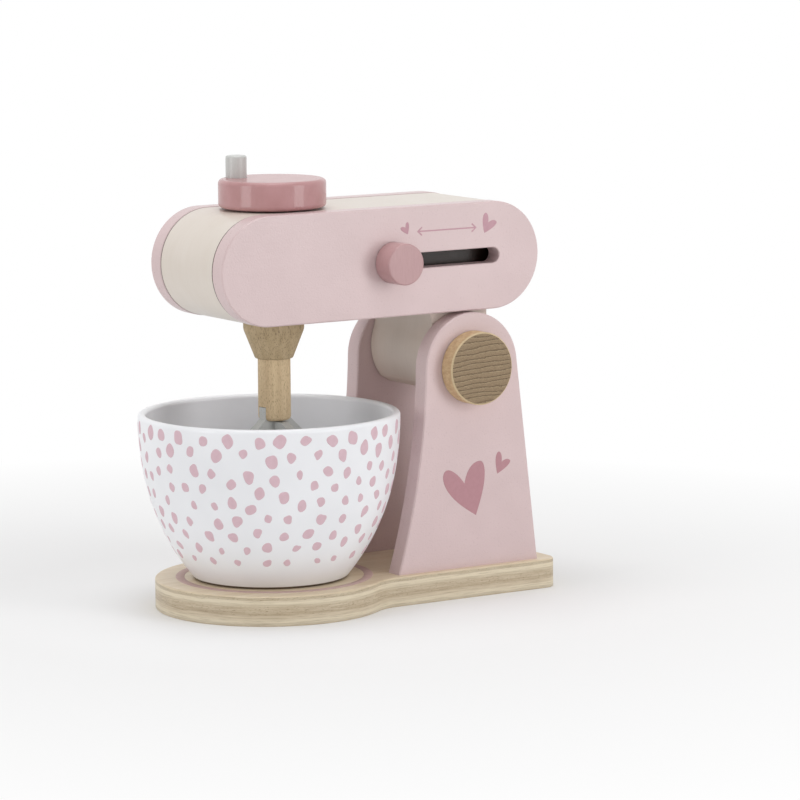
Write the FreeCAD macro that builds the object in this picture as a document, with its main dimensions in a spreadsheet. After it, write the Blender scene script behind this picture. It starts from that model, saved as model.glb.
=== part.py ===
import FreeCAD, Part
import os
import re

import Sketcher

# Wooden toy stand mixer: a plywood base with two cheeks, a head that tilts up on an axle
# between them, a crank dial that turns the whisk, a slider in the head's side and a loose bowl.
#
# Frame, in millimetres: the origin is under the base, on the bowl's axis. +Z is up, the head
# runs along X with its column at +X, and the slider is on the side that faces -Y.

# Driving sizes. Every place and size below is worked out from these.
SIZES = {
    # base board
    "board_thickness": 15.0,
    "board_front_radius": 58.3,
    "board_waist_radius": 24.7,
    "board_rear_reach": 148.0,
    "board_corner_radius": 8.0,
    "board_edge_break": 0.5,
    "board_margin": 4.2,
    # column: cheeks, axle and tilt knobs
    "pivot_reach": 97.5,
    "pivot_height": 102.6,
    "cheek_thickness": 10.4,
    "cheek_top_radius": 27.6,
    "cheek_front_radius": 370.0,
    "cheek_front_angle": 1.3,
    "cheek_rear_angle": 6.7,
    "cheek_edge_break": 0.6,
    "axle_radius": 6.0,
    "tilt_knob_radius": 18.5,
    "tilt_knob_thickness": 8.9,
    "tilt_knob_socket": 5.5,
    "tilt_knob_edge": 0.7,
    # screws that hold the cheeks down
    "screw_radius": 1.75,
    "screw_head_radius": 3.6,
    "screw_length": 34.0,
    "screw_tip_length": 4.0,
    "screw_recess": 0.3,
    "screw_spacing": 48.0,
    # neck block
    "neck_width": 53.6,
    "neck_front_radius": 25.9,
    "neck_front_shift": 6.1,
    "neck_front_rise": 6.0,
    "neck_cove_radius": 18.0,
    "neck_cove_angle": 20.0,
    "neck_crease_depth": 10.2,
    "neck_foot_depth": 13.5,
    "neck_foot_reach": 8.4,
    "neck_rear_reach": 16.0,
    # head
    "head_length": 186.6,
    "head_height": 54.7,
    "head_width": 70.6,
    "head_front_reach": 46.8,
    "panel_thickness": 9.7,
    "panel_edge_break": 0.6,
    "core_inset": 0.25,
    "dowel_radius": 3.0,
    "dowel_depth": 7.0,
    "dowel_inset": 12.0,
    "neck_dowel_radius": 4.0,
    "neck_dowel_depth": 14.0,
    "neck_dowel_spacing": 20.0,
    # slider
    "slot_start_reach": 51.9,
    "slot_travel": 60.0,
    "slot_edge_break": 0.4,
    "stem_radius": 3.6,
    "shoe_radius": 8.0,
    "shoe_thickness": 4.0,
    "slider_knob_radius": 10.4,
    "slider_knob_thickness": 12.3,
    "slider_knob_socket": 6.0,
    "slider_knob_edge": 0.8,
    # crank dial
    "drive_reach": 3.3,
    "dial_radius": 27.0,
    "dial_thickness": 14.4,
    "dial_edge_round": 2.3,
    "washer_thickness": 0.8,
    "washer_radius": 11.0,
    "spindle_radius": 5.0,
    "spindle_socket": 9.0,
    "peg_radius": 5.3,
    "peg_offset": 18.8,
    "peg_angle": 131.0,
    "peg_reach": 11.1,
    "peg_socket": 8.0,
    "peg_edge_round": 1.0,
    # collar and whisk
    "collar_height": 20.5,
    "collar_radius": 15.3,
    "collar_foot_radius": 9.5,
    "collar_rim_height": 5.7,
    "collar_shoulder_round": 7.0,
    "collar_foot_round": 1.1,
    "collar_socket": 8.0,
    "shaft_radius": 8.2,
    "shaft_reach": 31.3,
    "shaft_edge_round": 2.2,
    "shaft_slot_height": 7.1,
    "whisk_angle": 8.8,
    "blade_thickness": 5.0,
    "blade_tab_rise": 0.9,
    "blade_shoulder_drop": 5.1,
    "blade_shoulder_width": 14.6,
    "blade_radius": 25.0,
    "blade_side_radius": 45.0,
    "blade_tip_radius": 18.0,
    "blade_rim_width": 5.5,
    "blade_spine_width": 12.0,
    "blade_window_round": 1.5,
    # bowl
    "bowl_height": 83.7,
    "bowl_rim_radius": 65.9,
    "bowl_wall": 4.1,
    "bowl_floor": 5.0,
    "bowl_upper_radius": 154.0,
    "bowl_lower_radius": 113.8,
    "bowl_bend_height": 49.5,
    "bowl_foot_round": 1.6,
    "bowl_inner_round": 9.0,
    # clearances
    "glue_gap": 0.05,
    "running_gap": 0.08,
    "face_gap": 0.3,
    "neck_play": 0.4,
    "head_play": 0.8,
    "sliding_gap": 0.35,
}

# Places that several pieces share, as rules on the sizes above.
CHEEK_INNER = "(neck_width / 2 + neck_play)"
CHEEK_OUTER = "(neck_width / 2 + neck_play + cheek_thickness)"
CHEEK_MIDDLE = "(neck_width / 2 + neck_play + cheek_thickness / 2)"
PIVOT_Z = "(board_thickness + pivot_height)"
HEAD_BOTTOM = "(board_thickness + pivot_height + cheek_top_radius + head_play)"
HEAD_MIDDLE = f"({HEAD_BOTTOM} + head_height / 2)"
HEAD_TOP = f"({HEAD_BOTTOM} + head_height)"
HEAD_FRONT = "(-head_front_reach)"
HEAD_REAR = "(head_length - head_front_reach)"
PANEL_INNER = "(head_width / 2 - panel_thickness)"
CORE_BOTTOM = f"({HEAD_BOTTOM} + core_inset)"
CORE_TOP = f"({HEAD_TOP} - core_inset)"
DIAL_BOTTOM = f"({CORE_TOP} + washer_thickness)"
DIAL_TOP = f"({DIAL_BOTTOM} + dial_thickness)"
COLLAR_TOP = f"({CORE_BOTTOM} - face_gap)"
COLLAR_BOTTOM = f"({COLLAR_TOP} - collar_height)"
SHAFT_TOP = f"({COLLAR_BOTTOM} + collar_socket)"
SHAFT_BOTTOM = f"({COLLAR_BOTTOM} - shaft_reach)"
SLOT_RADIUS = "(stem_radius + sliding_gap)"
POCKET_RADIUS = "(shoe_radius + sliding_gap)"
POCKET_DEPTH = "(shoe_thickness + 2 * face_gap)"

# Edges this close to a place, in millimetres, count as lying on it.
SAME_PLACE = 0.001

document = FreeCAD.newDocument("toy_mixer")
sheet = document.addObject("Spreadsheet::Sheet", "sizes")
for row, (name, number) in enumerate(SIZES.items(), start=1):
    sheet.set(f"A{row}", name)
    sheet.set(f"B{row}", str(number))
    sheet.setAlias(f"B{row}", name)
document.recompute()

nodes = []


def rule(text):
    """Put the sheet's name before each size in a rule, so that rules read in plain words."""
    return re.sub(r"[a-z]+(_[a-z]+)+", r"sizes.\g<0>", text)


def value(text):
    """What a rule comes to with the sheet's present numbers."""
    return float(sheet.evalExpression(rule(text)))


def keep(piece, name):
    """Make a document object one of the pieces that are written out under a name."""
    piece.Label = name
    nodes.append(piece)
    return piece


def place(piece, across="0", along="0", up="0", turn="0"):
    """Bind a piece's place, and its turn about Z, to rules."""
    piece.Placement = FreeCAD.Placement(FreeCAD.Vector(0, 0, 0), FreeCAD.Vector(0, 0, 1), 1)
    piece.setExpression("Placement.Base.x", rule(across))
    piece.setExpression("Placement.Base.y", rule(along))
    piece.setExpression("Placement.Base.z", rule(up))
    piece.setExpression("Placement.Rotation.Angle", rule(turn))


def new_body(name, across="0", along="0", up="0", turn="0"):
    """Start a piece whose own origin lies at a place given by rules."""
    body = document.addObject("PartDesign::Body", name)
    place(body, across, along, up, turn)
    return keep(body, name)


def new_sketch(body, name, role, shift="0"):
    """Start a sketch on one of the body's own origin planes, moved along its normal."""
    sketch = body.newObject("Sketcher::SketchObject", name)
    plane = next(item for item in body.Origin.OriginFeatures if item.Role == role)
    sketch.AttachmentSupport = [(plane, "")]
    sketch.MapMode = "FlatFace"
    sketch.setExpression("AttachmentOffset.Base.z", rule(shift))
    return sketch


def fix(sketch, kind, side, point, text):
    """Hold one coordinate of a sketch point, or a radius, at a rule."""
    if kind == "Radius":
        number = sketch.addConstraint(Sketcher.Constraint(kind, side, value(text)))
    else:
        number = sketch.addConstraint(Sketcher.Constraint(kind, -1, 1, side, point, value(text)))
    sketch.setExpression(f"Constraints[{number}]", rule(text))


def draw_circle(sketch, across, up, radius):
    """Draw a circle about a point."""
    centre = FreeCAD.Vector(value(across), value(up), 0)
    circle = Part.Circle(centre, FreeCAD.Vector(0, 0, 1), value(radius))
    side = sketch.addGeometry(circle, False)
    fix(sketch, "DistanceX", side, 3, across)
    fix(sketch, "DistanceY", side, 3, up)
    fix(sketch, "Radius", side, 0, radius)


def draw_outline(sketch, corners):
    """Draw a closed outline. A corner is (across, up), and the side after it is straight.

    A corner (across, up, centre across, centre up, turn) starts an arc that turns left or
    right about that centre. The arc fixes where its far end lies off its own path, so only
    the coordinate along the path is held there.
    """
    spots = [FreeCAD.Vector(value(corner[0]), value(corner[1]), 0) for corner in corners]
    sides = []
    centres = []
    for number, corner in enumerate(corners):
        start = spots[number]
        finish = spots[(number + 1) % len(corners)]
        if len(corner) == 2:
            sides.append((sketch.addGeometry(Part.LineSegment(start, finish), False), 1, 2))
            centres.append(None)
            continue
        centre = FreeCAD.Vector(value(corner[2]), value(corner[3]), 0)
        left = corner[4] == "left"
        first, last = (start, finish) if left else (finish, start)
        circle = Part.Circle(centre, FreeCAD.Vector(0, 0, 1), (start - centre).Length)
        arc = Part.ArcOfCircle(circle, circle.parameter(first), circle.parameter(last))
        side = sketch.addGeometry(arc, False)
        sides.append((side, 1, 2) if left else (side, 2, 1))
        centres.append(centre)
    for number, corner in enumerate(corners):
        side, start, finish = sides[number]
        following = sides[(number + 1) % len(corners)]
        sketch.addConstraint(
            Sketcher.Constraint("Coincident", side, finish, following[0], following[1]))
        before = centres[number - 1]
        spoke = spots[number] - before if before is not None else None
        if spoke is None or abs(spoke.y) >= abs(spoke.x):
            fix(sketch, "DistanceX", side, start, corner[0])
        if spoke is None or abs(spoke.y) < abs(spoke.x):
            fix(sketch, "DistanceY", side, start, corner[1])
        if centres[number] is not None:
            fix(sketch, "DistanceX", side, 3, corner[2])
            fix(sketch, "DistanceY", side, 3, corner[3])


def draw_stadium(sketch, left, right, middle, radius):
    """Draw a slot shape: two half circles of one radius, joined by straight sides."""
    draw_outline(sketch, [
        (left, f"{middle} - {radius}"),
        (right, f"{middle} - {radius}", right, middle, "left"),
        (right, f"{middle} + {radius}"),
        (left, f"{middle} + {radius}", left, middle, "left"),
    ])


def feature(body, kind, name, sketch, **settings):
    """Add a feature to a body, and make sure that it adds or takes away material."""
    document.recompute()
    before = body.Shape.Volume if body.Tip else 0.0
    made = body.newObject(f"PartDesign::{kind}", name)
    made.Profile = sketch
    for setting, given in settings.items():
        if setting == "Length":
            made.setExpression("Length", rule(given))
        else:
            setattr(made, setting, given)
    document.recompute()
    change = body.Shape.Volume - before
    wanted = change < 0 if kind in ("Pocket", "Groove") else change > 0
    if not wanted:
        raise SystemExit(f"{body.Label}: {name} changes nothing")
    return made


def pad(body, name, sketch, length, reverse=False):
    """Thicken a sketch along its normal."""
    return feature(body, "Pad", name, sketch, Length=length, Reversed=reverse)


def pocket(body, name, sketch, length, reverse=False, both=False):
    """Cut a sketch into the body, against its normal."""
    return feature(body, "Pocket", name, sketch, Length=length, Reversed=reverse, Midplane=both)


def revolve(body, name, sketch):
    """Turn a half profile about the sketch's upright axis."""
    return feature(body, "Revolution", name, sketch,
                   ReferenceAxis=(sketch, ["V_Axis"]), Angle=360.0)


def dress(body, kind, name, size, wanted):
    """Round or chamfer the edges of the body that a test picks."""
    document.recompute()
    base = body.Tip
    picked = [f"Edge{number}" for number, edge in enumerate(base.Shape.Edges, start=1)
              if wanted(edge)]
    if not picked:
        raise SystemExit(f"{body.Label}: {name} finds no edge")
    made = body.newObject(f"PartDesign::{kind}", name)
    made.Base = (base, picked)
    made.setExpression("Radius" if kind == "Fillet" else "Size", rule(size))
    document.recompute()
    return made


def flat_at(axis, *places):
    """A test for edges that lie whole in one of the planes square to an axis of the body."""
    heights = [value(text) for text in places]

    def wanted(edge):
        box = edge.BoundBox
        low = getattr(box, axis + "Min")
        high = getattr(box, axis + "Max")
        return any(abs(low - height) < SAME_PLACE and abs(high - height) < SAME_PLACE
                   for height in heights)
    return wanted


def ring_at(axis, place_text, radius_text):
    """A test for the circular edges of one radius in one plane."""
    level = flat_at(axis, place_text)
    radius = value(radius_text)

    def wanted(edge):
        return level(edge) and hasattr(edge.Curve, "Radius") \
            and abs(edge.Curve.Radius - radius) < SAME_PLACE
    return wanted


def cylinder(name, radius, height):
    """A plain cylinder on its own Z axis."""
    made = document.addObject("Part::Cylinder", name)
    made.setExpression("Radius", rule(radius))
    made.setExpression("Height", rule(height))
    return made


def lay_across(piece, across, start, up):
    """Lay a cylinder along +Y from a starting place."""
    piece.Placement = FreeCAD.Placement(
        FreeCAD.Vector(0, 0, 0), FreeCAD.Rotation(FreeCAD.Vector(1, 0, 0), -90))
    piece.setExpression("Placement.Base.x", rule(across))
    piece.setExpression("Placement.Base.y", rule(start))
    piece.setExpression("Placement.Base.z", rule(up))


def group(name, pieces):
    """Keep several like solids together as one piece of the list."""
    made = document.addObject("Part::Compound", name)
    made.Links = pieces
    return keep(made, name)


def screw_places():
    """Where the four screws stand: two under each cheek."""
    for side in ("-", "+"):
        for end in ("-", "+"):
            yield f"pivot_reach {end} screw_spacing / 2", f"{side}{CHEEK_MIDDLE}"


def make_board():
    """Plywood board: a round front under the bowl runs through a hollow curve into a straight tail."""
    body = new_body("base_board")
    outline = new_sketch(body, "board_outline", "XY_Plane")
    half = f"({CHEEK_OUTER} + board_margin)"
    hollow = f"sqrt((board_front_radius + board_waist_radius)^2 - ({half} + board_waist_radius)^2)"
    share = "board_front_radius / (board_front_radius + board_waist_radius)"
    touch_x = f"{hollow} * {share}"
    touch_y = f"({half} + board_waist_radius) * {share}"
    tail = "board_rear_reach - board_corner_radius"
    inner = f"{half} - board_corner_radius"
    draw_outline(outline, [
        (touch_x, f"-{touch_y}", hollow, f"-({half} + board_waist_radius)", "right"),
        (hollow, f"-{half}"),
        (tail, f"-{half}", tail, f"-({inner})", "left"),
        ("board_rear_reach", f"-({inner})"),
        ("board_rear_reach", inner, tail, inner, "left"),
        (tail, half),
        (hollow, half, hollow, f"{half} + board_waist_radius", "right"),
        (touch_x, touch_y, "0", "0", "left"),
    ])
    pad(body, "board", outline, "board_thickness")
    dress(body, "Chamfer", "board_edges", "board_edge_break", flat_at("Z", "0", "board_thickness"))
    holes = new_sketch(body, "screw_hole_outline", "XY_Plane")
    for across, along in screw_places():
        draw_circle(holes, across, along, "screw_radius + glue_gap")
    pocket(body, "screw_holes", holes, "board_thickness", reverse=True)
    dress(body, "Chamfer", "countersinks", "screw_head_radius + screw_recess - screw_radius",
          ring_at("Z", "0", "screw_radius + glue_gap"))


def make_cheek(name, inner_face):
    """Upright cheek: a round top on the axle's centre, a hollow front side and a straight rear one."""
    body = new_body(name, across="pivot_reach", up=PIVOT_Z)
    outline = new_sketch(body, f"{name}_outline", "XZ_Plane", inner_face)
    front = "cheek_front_angle * 1deg"
    reach = "(cheek_top_radius + cheek_front_radius)"
    centre_x = f"{reach} * cos({front})"
    centre_z = f"{reach} * sin({front})"
    front_foot = f"({centre_x} - sqrt(cheek_front_radius^2 - ({centre_z} + pivot_height)^2))"
    rear = "cheek_rear_angle * 1deg"
    rear_x = f"cheek_top_radius * cos({rear})"
    rear_z = f"cheek_top_radius * sin({rear})"
    rear_foot = f"({rear_x} + ({rear_z} + pivot_height) * tan({rear}))"
    draw_outline(outline, [
        (f"-{front_foot}", "-pivot_height"),
        (rear_foot, "-pivot_height"),
        (rear_x, rear_z, "0", "0", "left"),
        (f"-cheek_top_radius * cos({front})", f"cheek_top_radius * sin({front})",
         f"-{centre_x}", centre_z, "right"),
    ])
    pad(body, "board", outline, "cheek_thickness")
    faces = (f"-{CHEEK_OUTER}", f"-{CHEEK_INNER}") if name == "near_cheek" \
        else (CHEEK_OUTER, CHEEK_INNER)
    side_edges = flat_at("Y", *faces)
    foot_edges = flat_at("Z", "-pivot_height")
    dress(body, "Chamfer", "edges", "cheek_edge_break",
          lambda edge: side_edges(edge) and not foot_edges(edge))
    hole = new_sketch(body, f"{name}_axle_outline", "XZ_Plane", inner_face)
    draw_circle(hole, "0", "0", "axle_radius + running_gap")
    pocket(body, "axle_hole", hole, "cheek_thickness", reverse=True)
    pilot = new_sketch(body, f"{name}_pilot_outline", "XY_Plane", "-pivot_height")
    middle = f"-{CHEEK_MIDDLE}" if name == "near_cheek" else CHEEK_MIDDLE
    for end in ("-", "+"):
        draw_circle(pilot, f"0 {end} screw_spacing / 2", middle, "screw_radius + glue_gap")
    pocket(body, "pilot_holes", pilot,
           "screw_length + screw_recess + screw_tip_length - board_thickness", reverse=True)


def make_screws():
    """Four countersunk screws, driven up through the board into the cheeks' feet."""
    pieces = []
    for number, (across, along) in enumerate(screw_places(), start=1):
        head = document.addObject("Part::Cone", f"screw_head_{number}")
        head.setExpression("Radius1", rule("screw_head_radius"))
        head.setExpression("Radius2", rule("screw_radius"))
        head.setExpression("Height", rule("screw_head_radius - screw_radius"))
        shank = cylinder(f"screw_shank_{number}", "screw_radius", "screw_length - screw_tip_length")
        tip = document.addObject("Part::Cone", f"screw_tip_{number}")
        tip.setExpression("Radius1", rule("screw_radius"))
        tip.Radius2 = 0
        tip.setExpression("Height", rule("screw_tip_length"))
        place(head, across, along, "screw_recess")
        place(shank, across, along, "screw_recess")
        place(tip, across, along, "screw_recess + screw_length - screw_tip_length")
        screw = document.addObject("Part::MultiFuse", f"screw_{number}")
        screw.Shapes = [head, shank, tip]
        screw.Refine = True
        pieces.append(screw)
    group("cheek_screws", pieces)


def make_neck():
    """Neck block: a full round front that creases into the foot, and a cove up to the head."""
    body = new_body("neck_block", across="pivot_reach", up=PIVOT_Z)
    outline = new_sketch(body, "neck_outline", "XZ_Plane", "-neck_width / 2")
    cove = "neck_cove_angle * 1deg"
    reach = "(neck_front_radius + neck_cove_radius)"
    cove_x = f"(neck_front_shift - {reach} * cos({cove}))"
    cove_z = f"(neck_front_rise + {reach} * sin({cove}))"
    touch_x = f"neck_front_shift - neck_front_radius * cos({cove})"
    touch_z = f"neck_front_rise + neck_front_radius * sin({cove})"
    top = "cheek_top_radius + head_play"
    flare = f"{cove_x} + sqrt(neck_cove_radius^2 - ({top} - {cove_z})^2)"
    drop = "(neck_crease_depth + neck_front_rise)"
    crease = f"neck_front_shift - sqrt(neck_front_radius^2 - {drop}^2)"
    draw_outline(outline, [
        ("neck_rear_reach", "-neck_foot_depth"),
        ("neck_rear_reach", top),
        (flare, top, cove_x, cove_z, "right"),
        (touch_x, touch_z, "neck_front_shift", "neck_front_rise", "left"),
        (crease, "-neck_crease_depth"),
        ("-neck_foot_reach", "-neck_foot_depth"),
    ])
    pad(body, "block", outline, "neck_width")
    hole = new_sketch(body, "neck_axle_outline", "XZ_Plane", "-neck_width / 2")
    draw_circle(hole, "0", "0", "axle_radius + glue_gap")
    pocket(body, "axle_hole", hole, "neck_width", reverse=True)
    sockets = new_sketch(body, "neck_dowel_outline", "XY_Plane", top)
    for end in ("-", "+"):
        draw_circle(sockets, f"0 {end} neck_dowel_spacing / 2", "0", "neck_dowel_radius + glue_gap")
    pocket(body, "dowel_sockets", sockets, "neck_dowel_depth + face_gap")


def make_head_core():
    """Head core: the middle of the head, bored for the spindle, with the slider's pocket beside it."""
    body = new_body("head_core")
    radius = "(head_height / 2 - core_inset)"
    outline = new_sketch(body, "core_outline", "XZ_Plane", f"-{PANEL_INNER}")
    draw_stadium(outline, f"{HEAD_FRONT} + head_height / 2", f"{HEAD_REAR} - head_height / 2",
                 HEAD_MIDDLE, radius)
    pad(body, "block", outline, f"2 * {PANEL_INNER}")
    bore = new_sketch(body, "spindle_bore_outline", "XY_Plane", HEAD_TOP)
    draw_circle(bore, "drive_reach", "0", "spindle_radius + running_gap")
    pocket(body, "spindle_bore", bore, "2 * head_height", both=True)
    hollow = new_sketch(body, "slider_pocket_outline", "XZ_Plane", PANEL_INNER)
    draw_stadium(hollow, "slot_start_reach", "slot_start_reach + slot_travel", HEAD_MIDDLE,
                 POCKET_RADIUS)
    pocket(body, "slider_pocket", hollow, POCKET_DEPTH)
    sockets = new_sketch(body, "panel_dowel_outline", "XZ_Plane", PANEL_INNER)
    draw_circle(sockets, f"{HEAD_FRONT} + dowel_inset", HEAD_MIDDLE, "dowel_radius + glue_gap")
    draw_circle(sockets, f"{HEAD_REAR} - dowel_inset", HEAD_MIDDLE, "dowel_radius + glue_gap")
    pocket(body, "near_dowel_sockets", sockets, "dowel_depth + face_gap")
    far_sockets = new_sketch(body, "far_dowel_outline", "XZ_Plane", f"-{PANEL_INNER}")
    draw_circle(far_sockets, f"{HEAD_FRONT} + dowel_inset", HEAD_MIDDLE, "dowel_radius + glue_gap")
    draw_circle(far_sockets, f"{HEAD_REAR} - dowel_inset", HEAD_MIDDLE, "dowel_radius + glue_gap")
    pocket(body, "far_dowel_sockets", far_sockets, "dowel_depth + face_gap", reverse=True)
    neck_sockets = new_sketch(body, "neck_socket_outline", "XY_Plane", CORE_BOTTOM)
    for end in ("-", "+"):
        draw_circle(neck_sockets, f"pivot_reach {end} neck_dowel_spacing / 2", "0",
                    "neck_dowel_radius + glue_gap")
    pocket(body, "neck_dowel_sockets", neck_sockets, "neck_dowel_depth + face_gap", reverse=True)


def make_side_panel(name, inner_face, outer_face):
    """Side panel of the head, with rounded edges and blind sockets for its dowels."""
    body = new_body(name)
    near = name == "near_side_panel"
    outline = new_sketch(body, f"{name}_outline", "XZ_Plane", inner_face if near else outer_face)
    draw_stadium(outline, f"{HEAD_FRONT} + head_height / 2", f"{HEAD_REAR} - head_height / 2",
                 HEAD_MIDDLE, "(head_height / 2)")
    pad(body, "board", outline, "panel_thickness")
    dress(body, "Chamfer", "edges", "panel_edge_break",
          flat_at("Y", f"-({inner_face})", f"-({outer_face})"))
    if near:
        slot = new_sketch(body, "slot_outline", "XZ_Plane", outer_face)
        draw_stadium(slot, "slot_start_reach", "slot_start_reach + slot_travel", HEAD_MIDDLE,
                     SLOT_RADIUS)
        pocket(body, "slot", slot, "panel_thickness")
        mouth = flat_at("Y", f"-({outer_face})")
        half = value(SLOT_RADIUS) + SAME_PLACE
        middle = value(HEAD_MIDDLE)
        dress(body, "Chamfer", "slot_edges", "slot_edge_break",
              lambda edge: mouth(edge) and abs(edge.BoundBox.ZMin - middle) < half
              and abs(edge.BoundBox.ZMax - middle) < half)
    sockets = new_sketch(body, f"{name}_dowel_outline", "XZ_Plane", inner_face)
    draw_circle(sockets, f"{HEAD_FRONT} + dowel_inset", HEAD_MIDDLE, "dowel_radius + glue_gap")
    draw_circle(sockets, f"{HEAD_REAR} - dowel_inset", HEAD_MIDDLE, "dowel_radius + glue_gap")
    pocket(body, "dowel_sockets", sockets, "dowel_depth + face_gap", reverse=near)


def make_dowels():
    """Hidden dowels: four that hold the panels to the core, and two from the neck to the core."""
    pieces = []
    for side, start in (("near", f"-{PANEL_INNER} - dowel_depth"),
                        ("far", f"{PANEL_INNER} - dowel_depth")):
        for end, across in (("front", f"{HEAD_FRONT} + dowel_inset"),
                            ("rear", f"{HEAD_REAR} - dowel_inset")):
            dowel = cylinder(f"{side}_{end}_dowel", "dowel_radius", "2 * dowel_depth")
            lay_across(dowel, across, start, HEAD_MIDDLE)
            pieces.append(dowel)
    group("panel_dowels", pieces)
    pieces = []
    for name, end in (("front", "-"), ("rear", "+")):
        dowel = cylinder(f"{name}_neck_dowel", "neck_dowel_radius",
                         "2 * neck_dowel_depth + core_inset")
        place(dowel, f"pivot_reach {end} neck_dowel_spacing / 2", "0",
              f"{HEAD_BOTTOM} - neck_dowel_depth")
        pieces.append(dowel)
    group("neck_dowels", pieces)


def make_tilt_axle():
    """Axle: a dowel through both cheeks and the neck, glued into a knob at each end."""
    axle = cylinder("tilt_axle", "axle_radius",
                    f"2 * ({CHEEK_OUTER} + face_gap + tilt_knob_socket - glue_gap)")
    lay_across(axle, "pivot_reach",
               f"-({CHEEK_OUTER} + face_gap + tilt_knob_socket - glue_gap)", PIVOT_Z)
    keep(axle, "tilt_axle")


def make_tilt_knob(name, near):
    """Turned knob with a softened rim and a blind socket for the axle."""
    body = new_body(name, across="pivot_reach", up=PIVOT_Z)
    inner = f"({CHEEK_OUTER} + face_gap)"
    outer = f"({CHEEK_OUTER} + face_gap + tilt_knob_thickness)"
    outline = new_sketch(body, f"{name}_outline", "XZ_Plane", inner if near else f"-{inner}")
    draw_circle(outline, "0", "0", "tilt_knob_radius")
    pad(body, "disc", outline, "tilt_knob_thickness", reverse=not near)
    face = f"-{outer}" if near else outer
    dress(body, "Chamfer", "rim", "tilt_knob_edge", flat_at("Y", face))
    socket = new_sketch(body, f"{name}_socket_outline", "XZ_Plane", inner if near else f"-{inner}")
    draw_circle(socket, "0", "0", "axle_radius + glue_gap")
    pocket(body, "socket", socket, "tilt_knob_socket", reverse=near)


def make_slider():
    """Slider: a knob outside the head, a stem through the slot and a shoe in the pocket behind."""
    body = new_body("slider_knob", across="slot_start_reach", up=HEAD_MIDDLE)
    inner = "(head_width / 2 + face_gap)"
    outer = "(head_width / 2 + face_gap + slider_knob_thickness)"
    outline = new_sketch(body, "slider_knob_outline", "XZ_Plane", inner)
    draw_circle(outline, "0", "0", "slider_knob_radius")
    pad(body, "disc", outline, "slider_knob_thickness")
    dress(body, "Fillet", "rim", "slider_knob_edge", flat_at("Y", f"-{outer}"))
    socket = new_sketch(body, "slider_socket_outline", "XZ_Plane", inner)
    draw_circle(socket, "0", "0", "stem_radius + glue_gap")
    pocket(body, "socket", socket, "slider_knob_socket", reverse=True)

    shoe_back = f"({PANEL_INNER} - face_gap - shoe_thickness)"
    stem_end = f"({inner} + slider_knob_socket - glue_gap)"
    stem = cylinder("slider_stem", "stem_radius", f"{stem_end} - {shoe_back}")
    lay_across(stem, "slot_start_reach", f"-{stem_end}", HEAD_MIDDLE)
    keep(stem, "slider_stem")

    shoe = new_body("slider_shoe", across="slot_start_reach", up=HEAD_MIDDLE)
    ring = new_sketch(shoe, "shoe_outline", "XZ_Plane", shoe_back)
    draw_circle(ring, "0", "0", "shoe_radius")
    draw_circle(ring, "0", "0", "stem_radius + glue_gap")
    pad(shoe, "disc", ring, "shoe_thickness")


def make_dial():
    """Crank dial with rounded rims, the washer that it turns on, its peg and the spindle below."""
    dial = new_body("crank_dial", across="drive_reach")
    outline = new_sketch(dial, "dial_outline", "XY_Plane", DIAL_BOTTOM)
    draw_circle(outline, "0", "0", "dial_radius")
    pad(dial, "disc", outline, "dial_thickness")
    dress(dial, "Fillet", "rims", "dial_edge_round", flat_at("Z", DIAL_BOTTOM, DIAL_TOP))
    bore = new_sketch(dial, "dial_socket_outline", "XY_Plane", DIAL_BOTTOM)
    draw_circle(bore, "0", "0", "spindle_radius + glue_gap")
    pocket(dial, "spindle_socket", bore, "spindle_socket", reverse=True)
    peg_x = "peg_offset * cos(peg_angle * 1deg)"
    peg_y = "peg_offset * sin(peg_angle * 1deg)"
    hole = new_sketch(dial, "peg_socket_outline", "XY_Plane", DIAL_TOP)
    draw_circle(hole, peg_x, peg_y, "peg_radius + glue_gap")
    pocket(dial, "peg_socket", hole, "peg_socket + glue_gap")

    peg = new_body("crank_peg", across=f"drive_reach + {peg_x}", along=peg_y,
                   up=f"{DIAL_TOP} - peg_socket")
    round_peg = new_sketch(peg, "peg_outline", "XY_Plane")
    draw_circle(round_peg, "0", "0", "peg_radius")
    pad(peg, "dowel", round_peg, "peg_socket + peg_reach")
    dress(peg, "Fillet", "tip", "peg_edge_round", flat_at("Z", "peg_socket + peg_reach"))

    washer = new_body("dial_washer", across="drive_reach", up=CORE_TOP)
    ring = new_sketch(washer, "washer_outline", "XY_Plane")
    draw_circle(ring, "0", "0", "washer_radius")
    draw_circle(ring, "0", "0", "spindle_radius + glue_gap")
    pad(washer, "disc", ring, "washer_thickness")

    spindle = cylinder("drive_spindle", "spindle_radius",
                       f"{DIAL_BOTTOM} + spindle_socket - glue_gap - {SHAFT_TOP} - glue_gap")
    place(spindle, "drive_reach", "0", f"{SHAFT_TOP} + glue_gap")
    keep(spindle, "drive_spindle")


def make_collar():
    """Turned collar: a cone under the head that takes the spindle above and the shaft below."""
    body = new_body("whisk_collar", across="drive_reach", up=COLLAR_BOTTOM)
    profile = new_sketch(body, "collar_profile", "XZ_Plane")
    draw_outline(profile, [
        ("shaft_radius + glue_gap", "0"),
        ("collar_foot_radius", "0"),
        ("collar_radius", "collar_height - collar_rim_height"),
        ("collar_radius", "collar_height"),
        ("spindle_radius + glue_gap", "collar_height"),
        ("spindle_radius + glue_gap", "collar_socket"),
        ("shaft_radius + glue_gap", "collar_socket"),
    ])
    revolve(body, "cone", profile)
    dress(body, "Fillet", "shoulder", "collar_shoulder_round",
          ring_at("Z", "collar_height - collar_rim_height", "collar_radius"))
    dress(body, "Fillet", "foot", "collar_foot_round", ring_at("Z", "0", "collar_foot_radius"))


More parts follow.
